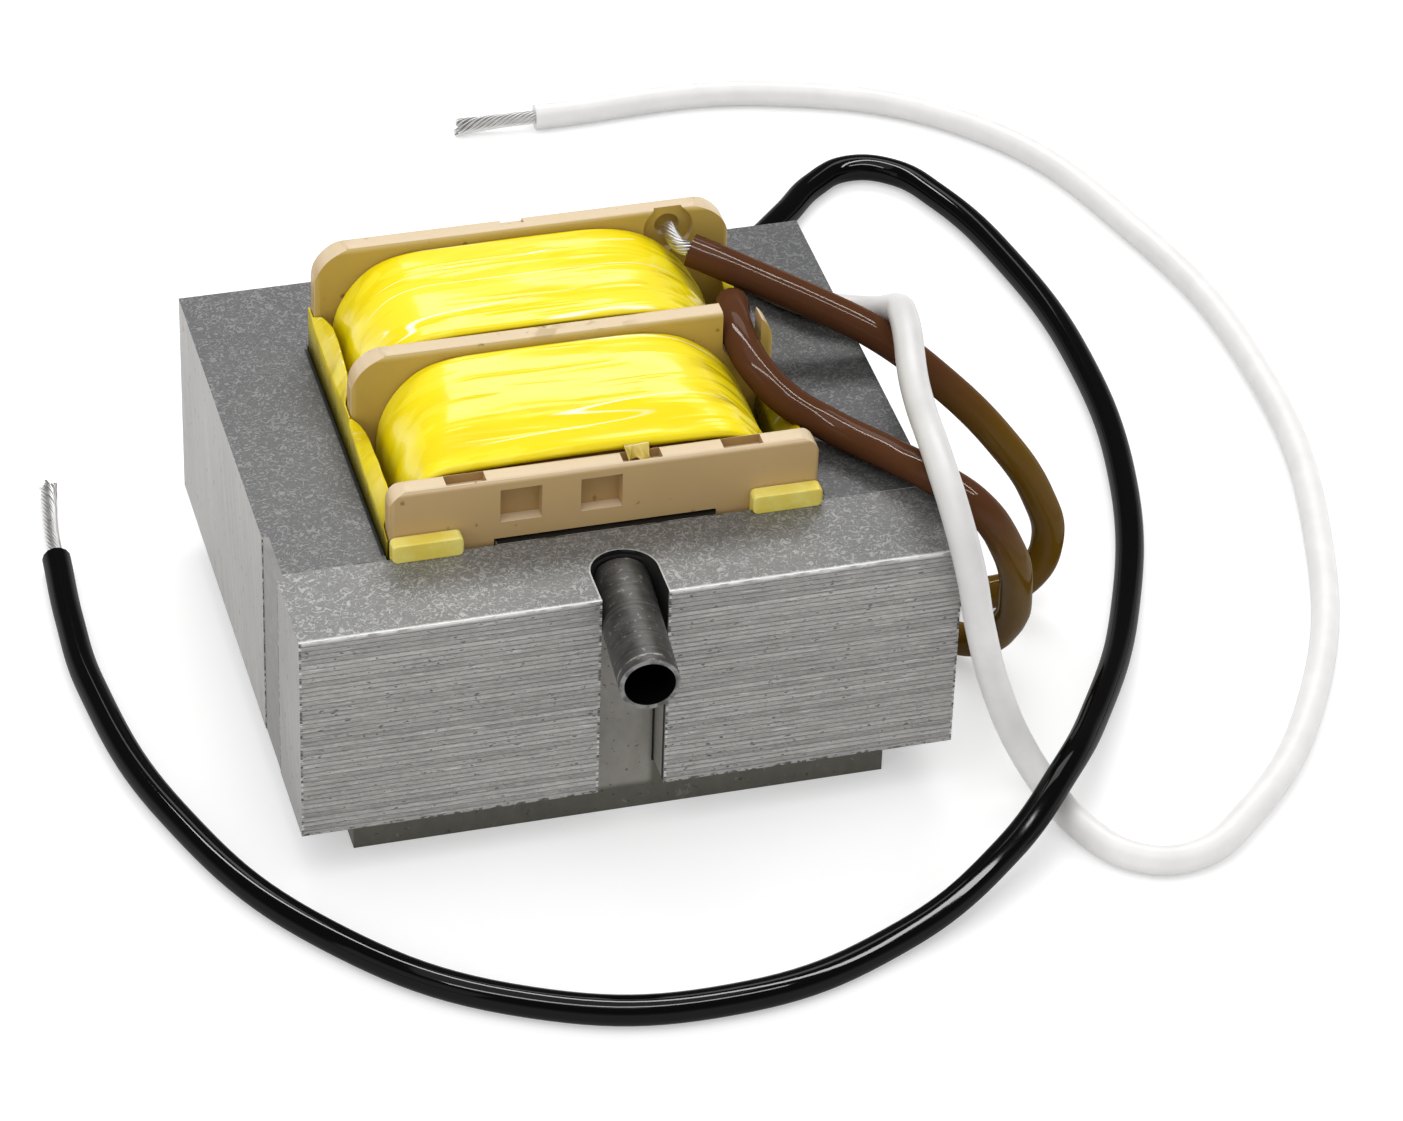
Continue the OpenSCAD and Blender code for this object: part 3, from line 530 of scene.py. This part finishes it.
def yellow_tape(name, colour, deep, pale, roughness, foot=0.0):
    """Glossy film tape: streaks and paler layers along the wrap, painted glints on top, painted shade in the
    pleats on the right shoulder.

    A foot above 0 darkens it towards the top of the core, as painted shade.
    """
    s = Shader(name)
    x, _, z = s.split(s.place)
    nz = s.split(s.normal)[2]
    folds = s.noise(1, (38, 300, 120), detail=2, distortion=0.8)
    layers = s.noise(1, (40, 190, 110), detail=2, distortion=1.6)
    colour = s.mix(s.mask(folds, 0.3, 0.6), deep, colour)
    colour = s.cover(colour, pale, s.mask(layers, 0.5, 0.525), 0.45)
    # Painted highlight: thin pale glints along the wrap, on top.
    near_line = s.apart(s.noise(1, (17, 200, 60), detail=1), 0.5)
    painted_glint = s.both(s.mask(near_line, 0.009, 0.002), s.mask(folds, 0.42, 0.58), s.mask(nz, 0.55, 0.9))
    colour = s.mix(painted_glint, colour, (1, 0.96, 0.7))
    # Painted shade: the pleats on the right shoulder are dark.
    pleats = s.both(s.mask(s.noise(1, (45, 520, 70), detail=2), 0.54, 0.66), s.reach(x, *PLEATS_X),
                    s.mask(nz, 0.2, 0.5))
    colour = s.cover(colour, (0.3, 0.17, 0.004), pleats, 0.6)
    # Painted shade: dark towards the top of the core.
    if foot:
        colour = s.cover(colour, (0.03, 0.026, 0.002), s.reach(z, *FILM_FOOT_SHADE_Z), foot)
    s.surface(Base_Color=colour, Roughness=roughness, Specular_IOR_Level=0.35, Coat_Weight=0.3,
              Coat_Roughness=0.06)
    s.bump(folds, 0.22, 0.7)
    return s.material


def wedge_plastic():
    s = Shader("wedge_plastic")
    cloud = s.noise(300, detail=4)
    colour = s.mix(s.mask(cloud, 0.35, 0.65), (0.82, 0.67, 0.11), (0.9, 0.8, 0.24))
    s.surface(Base_Color=colour, Roughness=0.3, Subsurface_Weight=0.4,
              Subsurface_Radius=(0.002, 0.0016, 0.0005))
    s.bump(s.noise(900, detail=3), 0.03, 0.4)
    return s.material


def insulation(name, colour, painted_light_low_colour, roughness, level, coat):
    """Extruded insulation; the colour may turn to another one towards the floor, as painted light: golden
    bounce light on the low brown, a paler white low down.
    """
    s = Shader(name)
    height = s.reach(s.split(s.place)[2], *INSULATION_LIGHT_Z)
    mottle = s.range(s.noise(260, detail=4), 0.9, 1.1)
    s.surface(Base_Color=s.tone(s.mix(height, painted_light_low_colour, colour), mottle),
              Roughness=s.range(s.noise(500, detail=4), roughness - 0.04, roughness + 0.05),
              Specular_IOR_Level=level, Coat_Weight=coat, Coat_Roughness=0.07)
    s.bump(s.noise(900, detail=2), 0.012, 0.4)
    return s.material


def tinned_copper():
    s = Shader("tinned_copper")
    tarnish = s.noise(900, detail=3)
    s.surface(Base_Color=s.tone((0.68, 0.67, 0.66), s.range(tarnish, 0.75, 1.15)), Metallic=1.0,
              Roughness=s.range(tarnish, 0.22, 0.4))
    s.bump(tarnish, 0.01, 0.4)
    return s.material


def add_piece(name, data, node=None):
    piece = bpy.data.objects.new(name, data)
    bpy.context.scene.collection.objects.link(piece)
    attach(piece, "root")
    if node:
        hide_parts(node)
    return piece


def round_curve(name, diameter, material):
    curve = bpy.data.curves.new(name, "CURVE")
    curve.dimensions = "3D"
    curve.bevel_depth = diameter / 2 * MM
    curve.bevel_resolution = 5
    curve.resolution_u = 12
    curve.use_fill_caps = True
    curve.materials.append(material)
    return curve


def add_spline(curve, route, thickness=1.0):
    """A smooth spline through the route's points, which are in millimetres."""
    spline = curve.splines.new("BEZIER")
    spline.bezier_points.add(len(route) - 1)
    for point, place in zip(spline.bezier_points, route):
        point.co = Vector(place) * MM
        point.radius = thickness
        point.handle_left_type = "AUTO"
        point.handle_right_type = "AUTO"


def along_route(route, count):
    """Evenly spread points of a smooth line through the route."""
    route = np.array(route, float)
    steps = np.linalg.norm(np.diff(route, axis=0), axis=1)
    knots = np.concatenate([[0], np.cumsum(steps)])
    slopes = np.gradient(route, knots, axis=0)
    points = []
    for s in np.linspace(0, knots[-1], count):
        i = min(np.searchsorted(knots, s, side="right") - 1, len(steps) - 1)
        t = (s - knots[i]) / steps[i]
        points.append((2 * t**3 - 3 * t**2 + 1) * route[i] + (t**3 - 2 * t**2 + t) * steps[i] * slopes[i]
                      + (3 * t**2 - 2 * t**3) * route[i + 1] + (t**3 - t**2) * steps[i] * slopes[i + 1])
    return np.array(points)


def twisted_strands(node, route, material, fray, seed):
    """Thin wires twisted along a bare end, spreading by fray towards its tip."""
    rng = np.random.default_rng(seed)
    curve = round_curve(node + "_wires", WIRE_D, material)
    curve.resolution_u = 4
    curve.bevel_resolution = 2
    line = along_route(route, WIRE_POINTS)
    length = np.linalg.norm(np.diff(line, axis=0), axis=1).sum()
    ahead = np.gradient(line, axis=0)
    ahead /= np.linalg.norm(ahead, axis=1)[:, None]
    across = np.cross(ahead, (0, 0, 1))
    across /= np.linalg.norm(across, axis=1)[:, None]
    upward = np.cross(across, ahead)
    share = np.linspace(0, 1, len(line))
    add_spline(curve, line[:-1], (STRAND_D - 2 * WIRE_D) / WIRE_D)
    for i in range(WIRES):
        angle = 2 * math.pi * (i / WIRES + share * length / TWIST_PITCH)
        spread = 1 + fray * share**3 * rng.uniform(0, 1)
        radius = ((STRAND_D - WIRE_D) / 2 * spread)[:, None]
        wire = line + radius * (np.cos(angle)[:, None] * across + np.sin(angle)[:, None] * upward)
        wire[:, 2] = np.maximum(wire[:, 2], WIRE_D / 2)
        wire[-1] = wire[-2] + (wire[-1] - wire[-2]) * rng.uniform(0.1, 1)
        add_spline(curve, wire)
    return add_piece(node + "_wires", curve, node)


def lead(node, route, diameter, material):
    curve = round_curve(node + "_wire", diameter, material)
    add_spline(curve, route)
    piece = add_piece(node + "_wire", curve, node)
    return piece


def grid_faces(rows, columns, closed_rows=False):
    """Faces of a grid of points numbered row by row; closed_rows joins the last row to the first."""
    faces = []
    for i in range(rows if closed_rows else rows - 1):
        for j in range(columns - 1):
            a, b = i * columns + j, (i + 1) % rows * columns + j
            faces.append((a, b, b + 1, a + 1))
    return faces


def add_mesh(name, points, faces, material, node=None):
    """A smooth mesh from points in millimetres."""
    mesh = bpy.data.meshes.new(name)
    mesh.from_pydata([tuple(p) for p in np.asarray(points) * MM], [], faces)
    mesh.materials.append(material)
    mesh.shade_smooth()
    mesh.validate()
    return add_piece(name, mesh, node)


def add_sheet(name, points, thickness, offset, material, node=None):
    """A thin sheet from a grid of points in millimetres; offset is -1 below the points, 0 on both sides."""
    rows, columns = points.shape[:2]
    piece = add_mesh(name, points.reshape(-1, 3), grid_faces(rows, columns), material, node)
    thick = piece.modifiers.new("thickness", "SOLIDIFY")
    thick.thickness = thickness * MM
    thick.offset = offset


def coil_loop(left, right, low, high):
    """Cross-section of a coil as points (x, z): up the left side, over both shoulders and back below."""
    def arc(cx, cz, r, start, end, count):
        turn = np.radians(np.linspace(start, end, count))
        return np.column_stack([cx + r * np.cos(turn), cz + r * np.sin(turn)])

    def straight(a, b, count):
        share = np.linspace(0, 1, count + 2)[1:-1, None]
        return (1 - share) * np.array(a) + share * np.array(b)

    l_r, r_r, foot = LEFT_SHOULDER_R, RIGHT_SHOULDER_R, LOWER_CORNER_R
    parts = [
        arc(left + foot, low + foot, foot, 270, 180, 6),
        straight((left, low + foot), (left, high - l_r), 16),
        arc(left + l_r, high - l_r, l_r, 180, 90, 40),
        straight((left + l_r, high), (right - r_r, high), 48),
        arc(right - r_r, high - r_r, r_r, 90, 0, 64),
        straight((right, high - r_r), (right, low + foot), 10),
        arc(right - foot, low + foot, foot, 0, -90, 6),
        straight((right - foot, low), (left + foot, low), 10)]
    return np.concatenate(parts)


def soft_min(a, b, width):
    """The lesser of two heights, with the corner between them rounded off."""
    return np.minimum(a, b) - np.maximum(width - np.abs(a - b), 0)**2 / (4 * width)


def wrap_ridges(x, y, y0, y1, rng):
    """Small creases of the tape: long ones along the wrap, sharper pleats over the right shoulder."""
    height = np.zeros_like(x)
    for _ in range(CREASES):
        start, span = rng.uniform(-22, 14), rng.uniform(6, 22)
        line = rng.uniform(y0, y1) + rng.uniform(-0.05, 0.05) * (x - start)
        line += rng.uniform(0.1, 0.5) * np.sin(x / rng.uniform(4, 9) + rng.uniform(0, 6))
        window = np.clip(np.minimum(x - start, start + span - x) / 3, 0, 1)
        height += rng.uniform(0.02, 0.07) * window * np.exp(-((y - line) / rng.uniform(0.15, 0.4))**2)
    for _ in range(PLEATS):
        line = rng.uniform(y0, y1) + rng.uniform(-0.25, 0.25) * (x - 16)
        window = np.clip((x - rng.uniform(9, 16)) / 5, 0, 1)
        height += rng.uniform(-0.14, 0.16) * window * np.exp(-((y - line) / rng.uniform(0.25, 0.6))**2)
    swell = np.sin(y * 0.9 + 0.12 * x + rng.uniform(0, 6)) * np.sin(0.11 * x + rng.uniform(0, 6))
    return height + 0.1 * swell


def taped_coil(coil, material, seed):
    """A wrapped coil between two flanges: its top climbs to the rear with a crown, its edges roll over."""
    rng = np.random.default_rng(seed)
    node = coil["node"]
    low, high = corners(node)
    between = np.linspace(low[1] + COIL_EDGE, high[1] - COIL_EDGE, COIL_COLUMNS)
    y = np.concatenate([[low[1]], between, [high[1]]])
    share = (y - low[1]) / (high[1] - low[1])
    crest = coil["low"] + (coil["high"] - coil["low"]) * share + coil["crown"] * 4 * share * (1 - share)
    loop = coil_loop(low[0], high[0], low[2], CORE_TOP + coil["high"] + coil["crown"] / 3)
    arch = ARCH * (1 - (loop[:, 0] / high[0])**2) - ARCH / 2
    rows, columns = len(loop), len(y)
    outer = np.empty((rows, columns, 3))
    outer[:, :, 0] = loop[:, 0, None]
    outer[:, :, 1] = y
    outer[:, :, 2] = soft_min(loop[:, 1, None], CORE_TOP + crest[None, :] + arch[:, None], BLEND)
    around = np.roll(outer, -1, axis=0) - np.roll(outer, 1, axis=0)
    along = np.gradient(outer, axis=1)
    normal = np.cross(around, along)
    normal /= np.linalg.norm(normal, axis=2)[:, :, None]
    edge = np.minimum(y - low[1], high[1] - y)
    roll = ROLL_R - np.sqrt(np.maximum(ROLL_R**2 - np.maximum(ROLL_R - edge, 0)**2, 0))
    ridges = wrap_ridges(outer[:, :, 0], outer[:, :, 1], low[1], high[1], rng)
    upper = np.clip((outer[:, :, 2] - CORE_TOP) / CREASE_FADE, 0, 1)
    calm = np.clip(edge / ROLL_R, 0, 1)[None, :]
    proud = ridges * upper * calm - roll[None, :] * ROLL_SHARE
    outer = outer + normal * proud[:, :, None]
    inner = outer - normal * TAPE_T
    inner[:, :, 1] = y
    points = np.concatenate([outer.reshape(-1, 3), inner.reshape(-1, 3)])
    shell = grid_faces(rows, columns, closed_rows=True)
    count = rows * columns
    faces = [(d, c, b, a) for a, b, c, d in shell]
    faces += [tuple(count + k for k in face) for face in shell]
    for i in range(rows):
        k = (i + 1) % rows
        for j, flip in ((0, False), (columns - 1, True)):
            rim = (i * columns + j, k * columns + j, count + k * columns + j, count + i * columns + j)
            faces.append(rim[::-1] if flip else rim)
    add_mesh(node + "_wrap", points, faces, material, node)


def standing_film(node, material, seed):
    """A film that stands along the window's wall and is folded over the coil above the stack."""
    rng = np.random.default_rng(seed)
    low, high = corners(node)
    side = -1 if high[0] < 0 else 1
    sections = sorted(FILM_SECTIONS[node])
    places = np.array([section[0] for section in sections])
    y = np.linspace(places[0], places[-1], FILM_COLUMNS)

    def along(values):
        blur = np.linspace(-0.35, 0.35, 9)
        return np.mean([np.interp(np.clip(y + b, y[0], y[-1]), places, values) for b in blur], axis=0)

    knots = [(np.full_like(y, FILM_GAP), np.full_like(y, z)) for z in (low[2] - CORE_TOP, FILM_FOLD_START)]
    for k in (1, 2, 3):
        knots.append((along([section[k][0] for section in sections]),
                      along([section[k][1] for section in sections])))
    rows = []
    for (d0, z0), (d1, z1) in zip(knots, knots[1:]):
        for share in np.linspace(0, 1, FILM_STEPS, endpoint=False):
            rows.append(((1 - share) * d0 + share * d1, (1 - share) * z0 + share * z1))
    rows.append(knots[-1])
    wave = rng.uniform(0, 6)
    points = np.empty((len(rows), len(y), 3))
    for i, (depth, z) in enumerate(rows):
        free = np.clip((depth - 0.4) / 1.2, 0, 1)
        points[i, :, 0] = side * (WINDOW_WALL - depth)
        points[i, :, 1] = y
        points[i, :, 2] = CORE_TOP + z + FILM_WAVE * free * np.sin(1.1 * y + wave) * np.sin(0.37 * y)
    add_sheet(node + "_sheet", points, FILM_T, 0, material, node)


def tape_tail(material, seed):
    """A torn, crumpled tail of the front coil's tape, which lies in the middle notch of the front flange."""
    rng = np.random.default_rng(seed)
    start, end = TAIL_Y
    across = np.linspace(*TAIL_X, 40)
    x, share = np.meshgrid(across, np.linspace(0, 1, 26))
    torn = end + 0.5 * np.sin(2.3 * across) + 0.25 * np.sin(7 * across)
    crumple = 0.16 * np.sin(5.5 * x + 4 * share) + 0.1 * np.sin(11 * x - 6 * share + rng.uniform(0, 6))
    points = np.empty((*x.shape, 3))
    points[:, :, 0] = x + 0.3 * share * np.sin(3 * x)
    points[:, :, 1] = start + share * (torn - start)[None, :]
    points[:, :, 2] = CORE_TOP + TAIL_Z - TAIL_DROP * share**1.4 + share * crumple
    add_sheet("front_tape_tail", points, TAIL_T, -1, material)


def finish_nodes(material, *nodes):
    for node in nodes:
        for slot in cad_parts[node].material_slots:
            slot.material = material


def round_edges(node, width, angle):
    """Welds a node's triangles and rounds its edges, as a modifier."""
    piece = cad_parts[node]
    weld = piece.modifiers.new("weld", "WELD")
    weld.merge_threshold = WELD_GAP * MM
    bevel = piece.modifiers.new("round", "BEVEL")
    bevel.width = width * MM
    bevel.segments = 3
    bevel.limit_method = "ANGLE"
    bevel.angle_limit = math.radians(angle)
    bevel.harden_normals = True


def add_camera():
    """The photograph's camera: azimuth, elevation and roll about the target, then a shift in its plane."""
    back = Vector((math.sin(CAMERA_AZIMUTH) * math.cos(CAMERA_ELEVATION),
                   -math.cos(CAMERA_AZIMUTH) * math.cos(CAMERA_ELEVATION),
                   math.sin(CAMERA_ELEVATION)))
    level = Vector((math.cos(CAMERA_AZIMUTH), math.sin(CAMERA_AZIMUTH), 0))
    upright = back.cross(level)
    right = math.cos(CAMERA_ROLL) * level + math.sin(CAMERA_ROLL) * upright
    up = -math.sin(CAMERA_ROLL) * level + math.cos(CAMERA_ROLL) * upright
    place = CAMERA_TARGET + CAMERA_DISTANCE * back + CAMERA_SHIFT[0] * right + CAMERA_SHIFT[1] * up
    data = bpy.data.cameras.new("camera")
    data.sensor_fit = "HORIZONTAL"
    data.sensor_width = SENSOR_MM
    data.lens = FOCAL_PX * SENSOR_MM / PHOTO_W
    data.clip_start = 0.01
    data.clip_end = 20
    camera = bpy.data.objects.new("camera", data)
    axes = Matrix((right, up, back)).transposed()
    camera.matrix_world = Matrix.Translation(place) @ axes.to_4x4()
    bpy.context.scene.collection.objects.link(camera)
    bpy.context.scene.camera = camera


def add_area_light(name, place, width, height, radiance):
    """A soft box that faces the middle of the core."""
    data = bpy.data.lights.new(name, "AREA")
    data.shape = "RECTANGLE"
    data.size = width
    data.size_y = height
    data.energy = radiance * math.pi * width * height
    light = bpy.data.objects.new(name, data)
    light.location = place
    light.rotation_euler = (CAMERA_TARGET - Vector(place)).to_track_quat("-Z", "Y").to_euler()
    bpy.context.scene.collection.objects.link(light)
    return light


def add_strip_light(name, place, width, height, radiance, pieces):
    """A narrow light that only these pieces mirror, for the thin lines of light on glossy insulation."""
    light = add_area_light(name, place, width, height, radiance)
    light.visible_diffuse = False
    mirrors = bpy.data.collections.new(name)
    for piece in pieces:
        mirrors.objects.link(piece)
    light.light_linking.receiver_collection = mirrors


def add_floor():
    """A wide white floor that keeps the shadows: part of its white is its own light, for seen rays only."""
    material = bpy.data.materials.new("floor")
    material.use_nodes = True
    n = Nodes(material.node_tree)
    n.tree.nodes.remove(n.tree.nodes["Principled BSDF"])
    diffuse = n.node("BsdfDiffuse", {"Color": FLOOR_COLOUR})
    glow = n.node("Emission", {"Strength": n.both(n.seen_rays(), FLOOR_GLOW)})
    n.set(n.tree.nodes["Material Output"].inputs["Surface"], n.node("AddShader", {0: diffuse, 1: glow}))
    mesh = bpy.data.meshes.new("floor")
    outline = [(x * FLOOR_HALF, y * FLOOR_HALF, 0) for x, y in ((-1, -1), (1, -1), (1, 1), (-1, 1))]
    mesh.from_pydata(outline, [], [(0, 1, 2, 3)])
    mesh.materials.append(material)
    floor = bpy.data.objects.new("floor", mesh)
    bpy.context.scene.collection.objects.link(floor)


def add_world():
    """Soft grey light all round; seen rays find a pale background, and mirror rays a dimmer ceiling."""
    world = bpy.data.worlds.new("studio")
    world.use_nodes = True
    n = Nodes(world.node_tree)
    soft = n.tree.nodes["Background"]
    n.set(soft.inputs["Color"], WORLD_COLOUR)
    height = n.split(n.node("TexCoord", output="Generated"))[2]
    fade = n.node("MapRange", {"Value": height, "From Min": 0.04, "From Max": 0.3, "To Min": 1.0,
                               "To Max": 0.2}, interpolation_type="SMOOTHSTEP")
    shown = n.node("Background", {"Strength": n.either(n.node("LightPath", output="Is Camera Ray"), fade)})
    either = n.node("MixShader", {0: n.seen_rays(), 1: soft.outputs[0], 2: shown})
    n.set(n.tree.nodes["World Output"].inputs["Surface"], either)
    bpy.context.scene.world = world


add_camera()

# Leads and their bare ends
tinned = tinned_copper()
# The insulations' low colours are painted light: golden bounce light on the brown, a paler white lower down.
black = insulation("black_insulation", (0.002, 0.002, 0.0021), (0.002, 0.002, 0.0021), 0.3, 0.0, 0.26)
white = insulation("white_insulation", (0.67, 0.66, 0.65), (0.81, 0.8, 0.79), 0.36, 0.5, 0.0)
brown = insulation("brown_insulation", (0.085, 0.033, 0.0145), (0.12, 0.062, 0.006), 0.28, 0.0, 0.18)
black_end = twisted_strands("black_strands", BLACK_BARE, tinned, 0.5, seed=3)
white_end = twisted_strands("white_strands", WHITE_BARE, tinned, 0.5, seed=4)
rear_end = twisted_strands("brown_rear_strands", BROWN_REAR_BARE, tinned, 0.4, seed=5)
front_end = twisted_strands("brown_front_strands", BROWN_FRONT_BARE, tinned, 0.4, seed=6)
keyhole_end = twisted_strands("brown_keyhole_strands", BROWN_KEYHOLE_BARE, tinned, 0.0, seed=7)
black_lead = lead("black_lead", BLACK_ROUTE, MAINS_LEAD_D, black)
lead("white_lead", WHITE_ROUTE, MAINS_LEAD_D, white)
rear_lead = lead("brown_lead_rear", BROWN_REAR_ROUTE, BROWN_LEAD_D, brown)
front_lead = lead("brown_lead_front", BROWN_FRONT_ROUTE, BROWN_LEAD_D, brown)

# Core, base, sleeve and bobbin keep the imported solids; the E stack has no front edge of its own
# The yoke's top is paler than the core's, as painted light that is brighter towards the front.
core_finish = sheet_steel("core_steel", (0.096, 0.097, 0.097), (0.3, 0.295, 0.285), (0.4, 0.39, 0.375),
                          STACK_LOW[1] - FAR)
yoke_finish = sheet_steel("yoke_steel", (0.167, 0.167, 0.164), (0.37, 0.36, 0.345), (0.36, 0.35, 0.34),
                          YOKE_FRONT)
finish_nodes(core_finish, "e_stack")
finish_nodes(yoke_finish, "i_stack")
finish_nodes(base_steel(), "base_plate", "base_tongue")
finish_nodes(weld_steel(), "weld_left", "weld_right")
finish_nodes(sleeve_steel(), "spacer_sleeve")
finish_nodes(bobbin_plastic(), "bobbin")
finish_nodes(copper_wire(), "front_winding", "rear_winding")
finish_nodes(wedge_plastic(), "wedge_left", "wedge_right")
round_edges("bobbin", 0.35, 40)
round_edges("wedge_left", 0.5, 30)
round_edges("wedge_right", 0.5, 30)

# Taped coils and films
tape = yellow_tape("yellow_tape", (0.92, 0.745, 0.004), (0.86, 0.675, 0.002), (0.97, 0.83, 0.045), 0.24)
taped_coil(FRONT_COIL, tape, seed=11)
taped_coil(REAR_COIL, tape, seed=12)
film = yellow_tape("yellow_film", (0.8, 0.63, 0.004), (0.66, 0.5, 0.002), (0.84, 0.68, 0.015), 0.26, foot=0.9)
standing_film("film_front_left", film, seed=21)
standing_film("film_front_right", film, seed=22)
standing_film("film_rear_left", film, seed=23)
standing_film("film_rear_right", film, seed=24)
frayed = yellow_tape("frayed_tape", (0.66, 0.52, 0.12), (0.5, 0.34, 0.05), (0.8, 0.72, 0.42), 0.4)
tape_tail(frayed, seed=25)

# Studio
add_floor()
add_world()
for name, settings in SOFT_BOXES.items():
    add_area_light(name, *settings)
for name, settings in STRIP_LIGHTS.items():
    add_strip_light(name, *settings, [black_lead, rear_lead, front_lead])
bpy.context.scene.view_settings.view_transform = "Standard"
